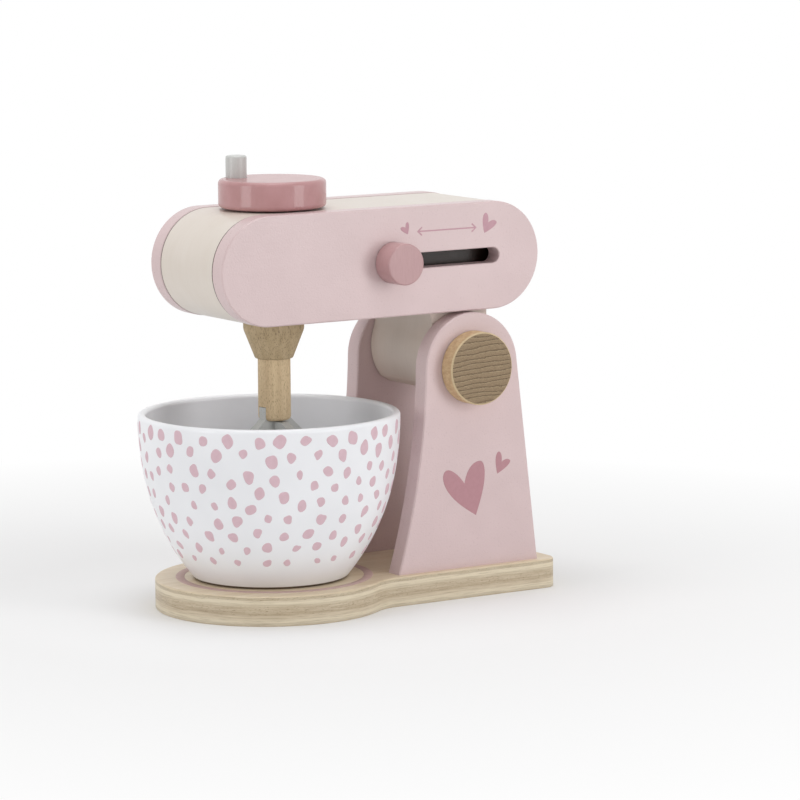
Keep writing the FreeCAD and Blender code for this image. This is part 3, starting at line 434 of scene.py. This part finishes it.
def birch_plywood():
    """Birch plywood with a thin varnish: striped edge and one quiet veneer on the broad faces."""
    material, tree, shader, place = start_finish("birch_plywood_varnished", roughness=0.4)
    height = add(tree, "SeparateXYZ", {0: place.outputs["Object"]}).outputs["Z"]
    sag = noise(tree, stretched(tree, place, SAG_CELL))
    level = work_out(tree, "MULTIPLY_ADD", sag, PLY_SAG, work_out(tree, "SUBTRACT", height, PLY_SAG / 2))
    share = spread(tree, level, BOARD_LOW.z, BOARD_HIGH.z)
    streaks = noise(tree, stretched(tree, place, STREAK_CELL), detail=4.0, rough=0.7)
    darker = spread(tree, streaks, *STREAK_DARK, 0.0, STREAK_SHARE)
    paler = spread(tree, streaks, *STREAK_PALE, 0.0, STREAK_SHARE)
    edge = blend_colour(tree, darker, ply_colours(tree, share), paint_colour("8F7D60"))
    edge = blend_colour(tree, paler, edge, paint_colour("E2D7BE"))
    dashes = spread(tree, noise(tree, stretched(tree, place, DASH_CELL), detail=1.0), *DASH_CUT)
    crossed = work_out(tree, "ADD", *[between(tree, share, *plies) for plies in CUT_ACROSS])
    strokes = work_out(tree, "MULTIPLY", all_of(tree, crossed, dashes), DASH_SHARE)
    edge = blend_colour(tree, strokes, edge, paint_colour("80694C"))
    grain = noise(tree, stretched(tree, place, VENEER_CELL), detail=5.0, rough=0.62, distort=0.6)
    flame = spread(tree, grain, *VENEER_REACH)
    veneer = blend_colour(tree, flame, paint_colour("E6D5BA"), paint_colour("D9C4A3"))
    facing = add(tree, "SeparateXYZ", {0: place.outputs["Normal"]}).outputs["Z"]
    broad = spread(tree, work_out(tree, "ABSOLUTE", facing), *BROAD_TURN)
    tree.links.new(blend_colour(tree, broad, edge, veneer), shader.inputs["Base Color"])
    rough = work_out(tree, "MULTIPLY", work_out(tree, "SUBTRACT", 1.0, broad), streaks)
    raise_surface(tree, shader, work_out(tree, "MULTIPLY_ADD", grain, VENEER_BUMP, rough), PLY_DEPTH)
    return material


board_finish = birch_plywood()
print(len(PLIES), "plies share", round((BOARD_HIGH.z - BOARD_LOW.z) / MM, 1), "mm of board")

# %% [markdown]
# The bowl is one turned piece in white satin lacquer. Its inside looks grey only because little
# light gets in. Its lowest edge, where the foot meets the board, is painted dark as painted shade.
# The wall's own curve is two arcs that share a tangent, as the turner's template has. The dots are
# laid out along it later on.

# %% Bowl lacquer
BOWL_LOW, BOWL_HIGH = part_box("bowl")
BOWL_RIM = BOWL_HIGH.x
BOWL_WALL = 4.1 * MM
UPPER_RADIUS = 154.0 * MM
LOWER_RADIUS = 113.8 * MM
BOWL_BEND = BOWL_LOW.z + 49.5 * MM
UPPER_CENTRE = (BOWL_RIM - UPPER_RADIUS, BOWL_HIGH.z - BOWL_WALL / 2)
BEND_DROP = UPPER_CENTRE[1] - BOWL_BEND
BEND_SPAN = math.sqrt(UPPER_RADIUS ** 2 - BEND_DROP ** 2)
BEND_REACH = UPPER_CENTRE[0] + BEND_SPAN
LOWER_CENTRE = (BEND_REACH - LOWER_RADIUS * BEND_SPAN / UPPER_RADIUS,
                BOWL_BEND + LOWER_RADIUS * BEND_DROP / UPPER_RADIUS)
FOOT_SHADE_FULL, FOOT_SHADE_END = BOWL_LOW.z + 1.0 * MM, BOWL_LOW.z + 1.3 * MM
BOWL_CLOUD = 30
TURNING_CELL = (18, 18, 1.1)
TURNING_DEPTH = 0.03


def bowl_reach(height):
    """Outer radius at a height: the upper arc above the bend, the lower arc below it."""
    upper = UPPER_CENTRE[0] + np.sqrt(UPPER_RADIUS ** 2 - (height - UPPER_CENTRE[1]) ** 2)
    lower = LOWER_CENTRE[0] + np.sqrt(LOWER_RADIUS ** 2 - (height - LOWER_CENTRE[1]) ** 2)
    return np.where(height > BOWL_BEND, upper, lower)


def bowl_lacquer():
    """White satin lacquer on turned wood, with painted shade at the foot and the slight bump of the turning.
    """
    material, tree, shader, place = start_finish("bowl_lacquer_white", roughness=0.34)
    height = add(tree, "SeparateXYZ", {0: place.outputs["Object"]}).outputs["Z"]
    white, _ = clouded(tree, place, BOWL_CLOUD, "F2F3F6", "EEEFF2")
    # painted shade: a dark band at the very bottom of the foot, for the contact shadow on the board
    foot_shade = spread(tree, height, FOOT_SHADE_FULL, FOOT_SHADE_END, 1.0, 0.0)
    tree.links.new(blend_colour(tree, foot_shade, white, paint_colour("5A4838")), shader.inputs["Base Color"])
    raise_surface(tree, shader, noise(tree, stretched(tree, place, TURNING_CELL)), TURNING_DEPTH)
    return material


bowl_finish = bowl_lacquer()
print("the bowl's wall bends", round(BOWL_BEND / MM, 1), "mm up, at a radius of", round(BEND_REACH / MM, 1))

# %% [markdown]
# Two small parts are not wood: zinc plated screws under the board and a nylon washer under the
# dial. They hardly show, but a metal screw with faint plating spangle and a moulded washer with a
# fine grain are what someone finds when the toy is turned over.

# %% Metal and plastic
SMALL_DEPTH = 0.02


def small_part(name, hue, shade, metal, roughness, cell):
    """Zinc plate or moulded nylon: one colour with a fine cell pattern in tone and bump."""
    material, tree, shader, place = start_finish(name, roughness, Metallic=metal)
    colour, cells = clouded(tree, place, cell, hue, shade)
    tree.links.new(colour, shader.inputs["Base Color"])
    raise_surface(tree, shader, cells, SMALL_DEPTH)
    return material


zinc_plate = small_part("zinc_plated_steel", "C9C9C4", "B4B4AE", metal=1.0, roughness=0.35, cell=0.8)
nylon = small_part("black_nylon_moulded", "2B1F1E", "221716", metal=0.0, roughness=0.6, cell=0.3)
print("plated and moulded", zinc_plate.name, "and", nylon.name)

# %% [markdown]
# A imported piece comes with one material slot, named for the stuff it is made of. So one list from
# stuff to finish dresses them all. Four pieces look different from others of the same stuff: the
# grain of two is cut another way, the shaft's beech is painted paler as painted light, and the
# neck's cream is painted browner as painted shade. A second list holds those.

# %% Every imported piece takes its finish
FINISHES = {
    "birch_plywood": board_finish,
    "pink_paint": pink_paint,
    "cream_paint": cream_paint,
    "rose_gloss": rose_gloss,
    "rose_satin": rose_satin,
    "bare_beech": upright_beech,
    "hidden_beech": hidden_beech,
    "grey_paint": grey_paint,
    "bowl_lacquer": bowl_finish,
    "zinc_steel": zinc_plate,
    "black_nylon": nylon,
}
OWN_FINISHES = {
    "near_tilt_knob": knob_finish,
    "far_tilt_knob": knob_finish,
    "whisk_shaft": lit_shaft_beech,
    "neck_block": shaded_neck_paint,
}
for name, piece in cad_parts.items():
    slot = piece.material_slots[0]
    slot.material = OWN_FINISHES.get(name, FINISHES[slot.material.name.split(".")[0]])
worn = {piece.material_slots[0].material.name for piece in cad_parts.values()}
print("dressed", len(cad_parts), "packed pieces with", len(worn), "finishes")

# %% [markdown]
# The hearts, the arrow, the ring and the bowl's dots are screen printed: a film of ink less than a
# tenth of a millimetre thick, matt and a shade deeper than the paint. A film could be a pattern in
# the paint's own material, but its edge would then be as coarse as a baked texture. A thin closed
# mesh keeps a crisp edge at any size, so every print is one. All but the ring are a grid of rings
# around a middle point, where the outer ring dips into the paint. The mesh of the printer's screen
# is too fine for the picture, so the tooth that it leaves in the ink is drawn coarser.

# %% Printed films
INK = 0.06 * MM
SUNK = 0.05 * MM
SHARES = np.array([0.45, 0.8, 0.95, 1.0, 0.9])
HEIGHTS = np.array([INK, INK, 0.8 * INK, -SUNK, -2 * SUNK])
INK_CLOUD, INK_TOOTH, TOOTH_DEPTH = 2.5, 0.4, 0.01


def screen_ink(name, hue, shade):
    """Matt screen ink: almost flat colour, a fine screen tooth and no gloss of its own."""
    material, tree, shader, place = start_finish(name, roughness=0.6)
    colour, _ = clouded(tree, place, INK_CLOUD, hue, shade, detail=3.0)
    tree.links.new(colour, shader.inputs["Base Color"])
    tooth = noise(tree, stretched(tree, place, INK_TOOTH), detail=1.0)
    raise_surface(tree, shader, tooth, TOOTH_DEPTH)
    return material


def mesh_piece(name, points, faces, material, body):
    """Make a mesh from arrays of points and faces, give it its finish and let it ride on a body."""
    mesh = bpy.data.meshes.new(name)
    mesh.from_pydata(points.reshape(-1, 3).tolist(), [], faces)
    mesh.validate()
    mesh.shade_smooth()
    piece = bpy.data.objects.new(name, mesh)
    bpy.context.scene.collection.objects.link(piece)
    mesh.materials.append(material)
    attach(piece, body)
    print(name, "has", len(mesh.polygons), "faces")


def film_points(outline, middle):
    """Rings of an outline shrunk towards its middle, each at its own height over the paint."""
    rings = middle + SHARES[:, None, None] * (outline - middle)[None]
    flat = np.concatenate([middle[None], rings.reshape(-1, 2), middle[None]])
    lift = np.concatenate([[INK], np.repeat(HEIGHTS, len(outline)), [HEIGHTS[-1]]])
    return flat, lift


def film_faces(steps):
    """Faces of a closed lens: a fan at the top, bands between rings, and a fan underneath.

    The points are the top middle, then the rings from the middle outwards and on underneath, and
    the bottom middle last.
    """
    here = np.arange(steps)
    after = (here + 1) % steps
    faces = [(0, 1 + a, 1 + b) for a, b in zip(here, after)]
    for ring in range(len(SHARES) - 1):
        inner = 1 + ring * steps
        outer = inner + steps
        faces += [(inner + a, outer + a, outer + b, inner + b) for a, b in zip(here, after)]
    last = 1 + (len(SHARES) - 1) * steps
    end = 1 + len(SHARES) * steps
    faces += [(last + a, end, last + b) for a, b in zip(here, after)]
    return faces


def copied_faces(faces, copies, stride):
    """The same faces for each of so many copies, whose points follow one another in strides."""
    return [tuple(corner + copy * stride for corner in face) for copy in range(copies) for face in faces]


# the cheek's ink is a deeper copy of the rose ink: partly the ink's own colour, partly painted shade for the
# shade on the cheek
shaded_cheek_ink = screen_ink("screen_ink_rose_with_shade", "B8888F", "B4848B")
panel_ink = screen_ink("screen_ink_rose", "C499A3", "C0959F")
board_ink = screen_ink("screen_ink_ring", "CDB0A9", "C5A59F")
bowl_ink = screen_ink("screen_ink_dots", "DABBC4", "D6B6BF")
print("a film stands", round(INK / MM, 2), "mm proud of the paint")

# %% [markdown]
# The hearts look brushed on in two strokes that meet in a tip, so each lobe has its own length and
# lean. Seen from the tip, such a heart is one distance for each direction: it climbs steeply along
# the outer edge, rounds the end of a lobe, sinks to the notch and does the same again. A lobe is
# then a direction in degrees to the right of upright, a length, and the width of its outer edge.

# %% Hearts
HEART_MIDDLE = 0.72
LOBE_STEPS = 24
CHEEK_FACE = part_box("near_cheek")[0].y
PANEL_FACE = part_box("near_side_panel")[0].y


def lobe(direction, length, width, notch_direction, notch_length):
    """One lobe of a heart as directions and distances from its tip, ending at the notch.

    Outer edge: the length times the root of a cosine of how far off the lobe's direction it is.
    Inner edge: from the length down to the notch's length by a quarter of a cosine.
    """
    share = np.arange(LOBE_STEPS) / LOBE_STEPS
    outward = math.copysign(width, direction - notch_direction)
    off = np.cos(share * np.pi / 2)
    inner_angles = direction + (notch_direction - direction) * share
    inner_reach = length + (notch_length - length) * (1 - off)
    angles = np.concatenate([direction + outward * off, inner_angles])
    return angles, np.concatenate([length * np.sqrt(np.cos(off * np.pi / 2)), inner_reach])


def print_heart(name, tip, left, notch, right, side, ink, body):
    """Lay one heart on an upright face: its tip in millimetres, and each lobe as above."""
    angles, reach = lobe(*left, *notch)
    other_angles, other_reach = lobe(*right, *notch)
    angles = np.radians(np.concatenate([angles, [notch[0]], other_angles[:0:-1]]))
    reach = np.concatenate([reach, [notch[1]], other_reach[:0:-1]])
    outline = reach[:, None] * np.stack([np.sin(angles), np.cos(angles)], axis=1)
    lean = math.radians(notch[0])
    middle = HEART_MIDDLE * notch[1] * np.array([math.sin(lean), math.cos(lean)])
    flat, lift = film_points(outline[::-1], middle)
    flat = flat + tip
    points = np.stack([flat[:, 0] * MM, side - lift, flat[:, 1] * MM], axis=1)
    mesh_piece(name, points, film_faces(len(outline)), ink, body)


print_heart("cheek_heart_large", (99.5, 41.0), (-37.5, 31.2, 21), (-22, 18.7), (6, 28.6, 15),
            CHEEK_FACE, shaded_cheek_ink, "stand")
print_heart("cheek_heart_small", (112.5, 61.3), (5.4, 11.7, 18), (24.7, 6.7), (52, 10.4, 12),
            CHEEK_FACE, shaded_cheek_ink, "stand")
print_heart("panel_heart_small", (60.9, 186.9), (-52.9, 5.6, 14), (-22.4, 3.7), (-2.7, 6.3, 18),
            PANEL_FACE, panel_ink, "head")
print_heart("panel_heart_large", (106.7, 184.7), (5.4, 10.6, 18.8), (24.8, 5.9), (54.6, 9.5, 12),
            PANEL_FACE, panel_ink, "head")

# %% [markdown]
# The arrow between the two small hearts tells the child that the knob slides. It is drawn with
# five straight strokes of one pen: a long shaft and two short barbs at each end. A stroke is a
# stadium, the outline that a round pen leaves. Where strokes cross, each is a trace higher than
# the one before it, because two films at one height would flicker.

# %% Arrow
ARROW_LEFT, ARROW_RIGHT, ARROW_HEIGHT = 66.8, 101.6, 188.0
BARB_REACH, BARB_RISE, PEN = 2.3, 1.9, 0.75
PEN_STEPS = 24
HIGHER = 0.02


def stroke_outline(start, end):
    """Stadium around a straight line: half a circle of the pen's radius round each end."""
    start, end = np.array(start), np.array(end)
    along = math.atan2(*(end - start)[::-1])
    step = np.arange(PEN_STEPS)
    turn = along + np.pi / 2 + step * 2 * np.pi / PEN_STEPS
    circle = PEN / 2 * np.stack([np.cos(turn), np.sin(turn)], axis=1)
    return circle + np.where((step < PEN_STEPS // 2)[:, None], start, end)


strokes = [((ARROW_LEFT, ARROW_HEIGHT), (ARROW_RIGHT, ARROW_HEIGHT))]
for end, inward in ((ARROW_LEFT, 1), (ARROW_RIGHT, -1)):
    for rise in (1, -1):
        strokes.append(((end, ARROW_HEIGHT), (end + inward * BARB_REACH, ARROW_HEIGHT + rise * BARB_RISE)))
arrow_points = []
for number, (start, end) in enumerate(strokes):
    outline = stroke_outline(start, end)
    flat, lift = film_points(outline, outline.mean(axis=0))
    lift = lift * (1 + HIGHER * number)
    arrow_points.append(np.stack([flat[:, 0] * MM, PANEL_FACE - lift, flat[:, 1] * MM], axis=1))
arrow_faces = copied_faces(film_faces(PEN_STEPS), len(strokes), len(arrow_points[0]))
mesh_piece("slider_arrow", np.concatenate(arrow_points), arrow_faces, panel_ink, "head")

# %% [markdown]
# A ring printed on the board shows where the bowl stands. It is a band carried round a circle: the
# band's section has a flat top and two edges that dip into the veneer, and it closes underneath.

# %% Ring on the board
RING_INNER, RING_OUTER = 45.2, 49.8
RING_EDGE, RING_TUCK = 0.15, 0.2
RING_SHIFT = 2.0
RING_STEPS = 192


def print_ring():
    """Carry a thin six sided section round a point just behind the bowl's axis, at the board's top."""
    across = np.array([RING_INNER, RING_INNER + RING_EDGE, RING_OUTER - RING_EDGE, RING_OUTER,
                       RING_OUTER - RING_TUCK, RING_INNER + RING_TUCK]) * MM
    up = BOARD_HIGH.z + np.array([-SUNK, INK, INK, -SUNK, -2 * SUNK, -2 * SUNK])
    corners = len(across)
    turn = np.arange(RING_STEPS) * 2 * np.pi / RING_STEPS
    points = np.stack([np.cos(turn)[:, None] * across + RING_SHIFT * MM, np.sin(turn)[:, None] * across,
                       np.broadcast_to(up, (RING_STEPS, corners))], axis=2)
    here, corner = np.meshgrid(np.arange(RING_STEPS), np.arange(corners), indexing="ij")
    here, after = here * corners, (here + 1) % RING_STEPS * corners
    following = (corner + 1) % corners
    faces = np.stack([here + corner, here + following, after + following, after + corner], axis=2)
    mesh_piece("bowl_place_ring", points, faces.reshape(-1, 4).tolist(), board_ink, "stand")


print_ring()

# %% [markdown]
# The bowl's dots look dabbed on with a finger, in loose rows that stay about as far apart all over.
# Rows are spaced along the wall's own curve, and each row takes as many dots as fit round it.
# Chance alone lets some dots touch, which a hand would avoid, so dots that are too near push each
# other apart a few times.

# %% Where the dots go
DOT_TOP, DOT_FOOT = 93.0, 30.0
DOT_MARGIN = 8.0
DOT_SPACING = 13.4
DOT_ROWS = 9
DOT_SWAY = 0.25
DOT_DRIFT = 4.0
DOT_ROOM = 9.8 * MM
DOT_PUSHES = 25
PUSH_SHARE = 0.3
WALL_SAMPLES = 400
chance = np.random.default_rng(11)

wall_heights = np.linspace(DOT_TOP + DOT_MARGIN, DOT_FOOT - DOT_MARGIN, WALL_SAMPLES) * MM
wall_reach = bowl_reach(wall_heights)
wall_length = np.concatenate([[0], np.cumsum(np.hypot(np.diff(wall_heights), np.diff(wall_reach)))])
first_row, last_row = np.interp([-DOT_TOP * MM, -DOT_FOOT * MM], -wall_heights, wall_length)

dot_along = []
dot_turn = []
for row in range(DOT_ROWS):
    along = first_row + (last_row - first_row) * row / (DOT_ROWS - 1)
    reach = np.interp(along, wall_length, wall_reach)
    count = round(2 * np.pi * reach / (DOT_SPACING * MM))
    turns = (np.arange(count) + 0.5 * (row % 2) + chance.uniform(-DOT_SWAY, DOT_SWAY, count)) / count
    dot_turn.append(turns * 2 * np.pi)
    dot_along.append(along + chance.uniform(-DOT_DRIFT, DOT_DRIFT, count) * MM)
dot_along = np.concatenate(dot_along)
dot_turn = np.concatenate(dot_turn)
dots = len(dot_turn)
for _ in range(DOT_PUSHES):
    reach = np.interp(dot_along, wall_length, wall_reach)
    down = dot_along[:, None] - dot_along[None]
    across = (dot_turn[:, None] - dot_turn[None] + np.pi) % (2 * np.pi) - np.pi
    across = across * (reach[:, None] + reach[None]) / 2
    apart = np.hypot(down, across) + np.eye(dots)
    push = np.where(apart < DOT_ROOM, DOT_ROOM - apart, 0.0) / apart * PUSH_SHARE
    dot_turn = dot_turn + (push * across).sum(axis=1) / reach
    dot_along = np.clip(dot_along + (push * down).sum(axis=1), first_row, last_row)
print("the bowl carries", dots, "dots")

# %% [markdown]
# Each dot is an oval of its own size, leaning its own way, and its outline waves in and out two,
# three and four times on the way round. The dots grow a little smaller towards the foot.

# %% Shape of each dot
DOT_STEPS = 28
DOT_SIZE = (2.3, 3.7)
DOT_TAPER = (1.06, 0.86)
DOT_SQUEEZE = (0.68, 0.92)
DOT_LEAN = 0.35
LEAST_WAVE = 0.01
DOT_WAVES = ((2, 0.07), (3, 0.09), (4, 0.06))

around = np.arange(DOT_STEPS) * 2 * np.pi / DOT_STEPS
size = chance.uniform(*DOT_SIZE, (dots, 1)) * MM
size = size * np.interp(dot_along, [first_row, last_row], DOT_TAPER)[:, None]
squeeze = chance.uniform(*DOT_SQUEEZE, (dots, 1))
lean = chance.normal(0.0, DOT_LEAN, (dots, 1))
wobble = np.ones((dots, DOT_STEPS))
for order, most in DOT_WAVES:
    depth = chance.uniform(LEAST_WAVE, most, (dots, 1))
    wobble = wobble + depth * np.cos(order * around + chance.uniform(0, 2 * np.pi, (dots, 1)))
tall = size * wobble * np.cos(around)
wide = size * wobble * np.sin(around) * squeeze
dot_up = tall * np.cos(lean) - wide * np.sin(lean)
dot_side = tall * np.sin(lean) + wide * np.cos(lean)
print("the dots are", round(size.min() / MM, 1), "to", round(size.max() / MM, 1), "mm in radius")

# %% [markdown]
# Every dot is a film like the hearts, but laid on a curved wall. Its grid is measured along the
# wall and around it, and each point is then pushed out square to the wall.

# %% Dots laid on the wall
def on_bowl(along, turn, lift):
    """Point on the bowl's outside, a length down the wall and an angle round it, lifted square to it."""
    height = np.interp(along, wall_length, wall_heights)
    above = height > BOWL_BEND
    centre_reach = np.where(above, UPPER_CENTRE[0], LOWER_CENTRE[0])
    centre_height = np.where(above, UPPER_CENTRE[1], LOWER_CENTRE[1])
    radius = np.where(above, UPPER_RADIUS, LOWER_RADIUS) + lift
    slope = np.arctan2(height - centre_height, bowl_reach(height) - centre_reach)
    reach = centre_reach + radius * np.cos(slope)
    height = centre_height + radius * np.sin(slope)
    return np.stack([reach * np.cos(turn), reach * np.sin(turn), height], axis=-1)


dot_reach = bowl_reach(np.interp(dot_along, wall_length, wall_heights))
rings = []
for share, lift in [(0.0, INK), *zip(SHARES, HEIGHTS), (0.0, HEIGHTS[-1])]:
    along = dot_along[:, None] - share * dot_up
    turn = dot_turn[:, None] - share * dot_side / dot_reach[:, None]
    ring = on_bowl(along, turn, lift)
    rings.append(ring[:, :1] if share == 0 else ring)
points = np.concatenate(rings, axis=1)
dot_faces = copied_faces(film_faces(DOT_STEPS), dots, points.shape[1])
mesh_piece("bowl_dots", points, dot_faces, bowl_ink, "bowl")

# %% [markdown]
# The picture is a catalogue shot: a long lens from a little above, a white sweep, and soft light.
# The lens and its place were worked out from the object's own edges. The place is in millimetres
# and the angles in degrees, and the focus is how many pixels of the picture the lens is long.

# %% Camera
CAMERA_PLACE = Vector((-1060.8, -1780.8, 398.7)) * MM
CAMERA_YAW, CAMERA_PITCH, CAMERA_ROLL = (math.radians(angle) for angle in (32.6, 8.1, 0.4))
FOCUS_PIXELS, PICTURE_PIXELS = 4172.6, 800

ahead = Vector((math.sin(CAMERA_YAW) * math.cos(CAMERA_PITCH),
                math.cos(CAMERA_YAW) * math.cos(CAMERA_PITCH), -math.sin(CAMERA_PITCH)))
level_right = Vector((math.cos(CAMERA_YAW), -math.sin(CAMERA_YAW), 0))
level_up = level_right.cross(ahead)
right = level_right * math.cos(CAMERA_ROLL) - level_up * math.sin(CAMERA_ROLL)
up = level_right * math.sin(CAMERA_ROLL) + level_up * math.cos(CAMERA_ROLL)
lens = bpy.data.cameras.new("camera")
lens.sensor_width = 36
lens.lens = FOCUS_PIXELS / PICTURE_PIXELS * lens.sensor_width
lens.clip_end = 100
camera = bpy.data.objects.new("camera", lens)
camera.matrix_world = Matrix.Translation(CAMERA_PLACE) @ Matrix((right, up, -ahead)).transposed().to_4x4()
bpy.context.scene.collection.objects.link(camera)
bpy.context.scene.camera = camera
print("the lens is", round(lens.lens), "mm long on a sensor", round(lens.sensor_width), "mm wide")

# %% [markdown]
# The floor is matt white paint that fades, where the camera sees it, into the background's white,
# and near the toy it still takes the shadow. Light Path tells a ray from the camera, or one seen in gloss or
# glass, from the rays that light the object. So the background may be plain white while the light
# that it gives stays low, and the gloss shows the same white that the camera sees.

# %% Floor and background
WHITE = (1, 1, 1, 1)
FLOOR_WHITE = "EDEDED"
FLOOR_LIFT = 0.055
FLOOR_FADE = (0.16, 0.5)
FLOOR_HALF = 14.0
AMBIENT = 0.42


def seen_straight(tree):
    """One for rays from the camera and for those in mirrors and glass, which show the background."""
    rays = add(tree, "LightPath", {}).outputs
    glass = work_out(tree, "MAXIMUM", rays["Is Glossy Ray"], rays["Is Transmission Ray"])
    return work_out(tree, "MAXIMUM", rays["Is Camera Ray"], glass)


def floor_material():
    """White floor: it takes light and shadow near the object and is plain white far from it."""
    material = bpy.data.materials.new("studio_floor_white")
    tree = empty_tree(material)
    place = add(tree, "TexCoord", {})
    away = add(tree, "VectorMath", {0: place.outputs["Object"]}, operation="LENGTH").outputs["Value"]
    seen = seen_straight(tree)
    matt = add(tree, "BsdfDiffuse", {"Color": paint_colour(FLOOR_WHITE)})
    strength = work_out(tree, "MULTIPLY", seen, FLOOR_LIFT)
    lift = add(tree, "Emission", {"Color": WHITE, "Strength": strength})
    near = add(tree, "AddShader", {0: matt.outputs[0], 1: lift.outputs[0]})
    white = add(tree, "Emission", {"Color": WHITE, "Strength": 1.0})
    share = work_out(tree, "MULTIPLY", spread(tree, away, *FLOOR_FADE), seen)
    mixed = add(tree, "MixShader", {0: share, 1: near.outputs[0], 2: white.outputs[0]})
    add(tree, "OutputMaterial", {"Surface": mixed.outputs[0]})
    return material


floor_mesh = bpy.data.meshes.new("studio_floor")
corners = [(-FLOOR_HALF, -FLOOR_HALF, 0), (FLOOR_HALF, -FLOOR_HALF, 0), (FLOOR_HALF, FLOOR_HALF, 0),
           (-FLOOR_HALF, FLOOR_HALF, 0)]
floor_mesh.from_pydata(corners, [], [(0, 1, 2, 3)])
floor_mesh.materials.append(floor_material())
floor = bpy.data.objects.new("studio_floor", floor_mesh)
bpy.context.scene.collection.objects.link(floor)

world = bpy.data.worlds.new("studio_white")
sky = empty_tree(world)
strength = work_out(sky, "MULTIPLY_ADD", seen_straight(sky), 1 - AMBIENT, AMBIENT)
shine = add(sky, "Background", {"Color": WHITE, "Strength": strength})
add(sky, "OutputWorld", {"Surface": shine.outputs[0]})
bpy.context.scene.world = world
print("the floor is plain white from", FLOOR_FADE[1], "m away, and the sky lights at", AMBIENT)

# %% [markdown]
# Three soft boxes light the toy. Two stand on the floor, left and right of the camera, and are
# seen in the dial's side as two upright stripes, which is how their places were found: a stripe on
# a round wall shows where its lamp is. A broad one overhead brightens what faces up. The places
# and the sides of the boxes are in metres, and the power is in watts.

# %% Lamps
HEAD_AIM = (0.04, 0, 0.25)
BODY_AIM = (0.04, 0, 0.1)


def soft_box(name, place, aim, width, height, power):
    """Rectangular area lamp at a place, turned to face a point."""
    lamp = bpy.data.lights.new(name, "AREA")
    lamp.shape = "RECTANGLE"
    lamp.size = width
    lamp.size_y = height
    lamp.energy = power
    piece = bpy.data.objects.new(name, lamp)
    towards = Vector(aim) - Vector(place)
    piece.matrix_world = Matrix.Translation(place) @ towards.to_track_quat("-Z", "Y").to_matrix().to_4x4()
    piece.visible_camera = False
    bpy.context.scene.collection.objects.link(piece)
    print(name, "is", round(towards.length, 2), "m away and gives", power, "W")


soft_box("soft_box_left", (-1.14, -0.04, 0.33), HEAD_AIM, 0.46, 0.60, 3.4)
soft_box("soft_box_right", (0.58, -1.09, 0.38), HEAD_AIM, 0.50, 0.74, 5.0)
soft_box("soft_box_top", (0.0, 0.1, 2.2), BODY_AIM, 1.6, 1.6, 23)

# %% [markdown]
# Under the Standard view a colour on a surface comes out about as it was written, which is what a
# matched finish needs.

# %% The view
bpy.context.scene.view_settings.view_transform = "Standard"
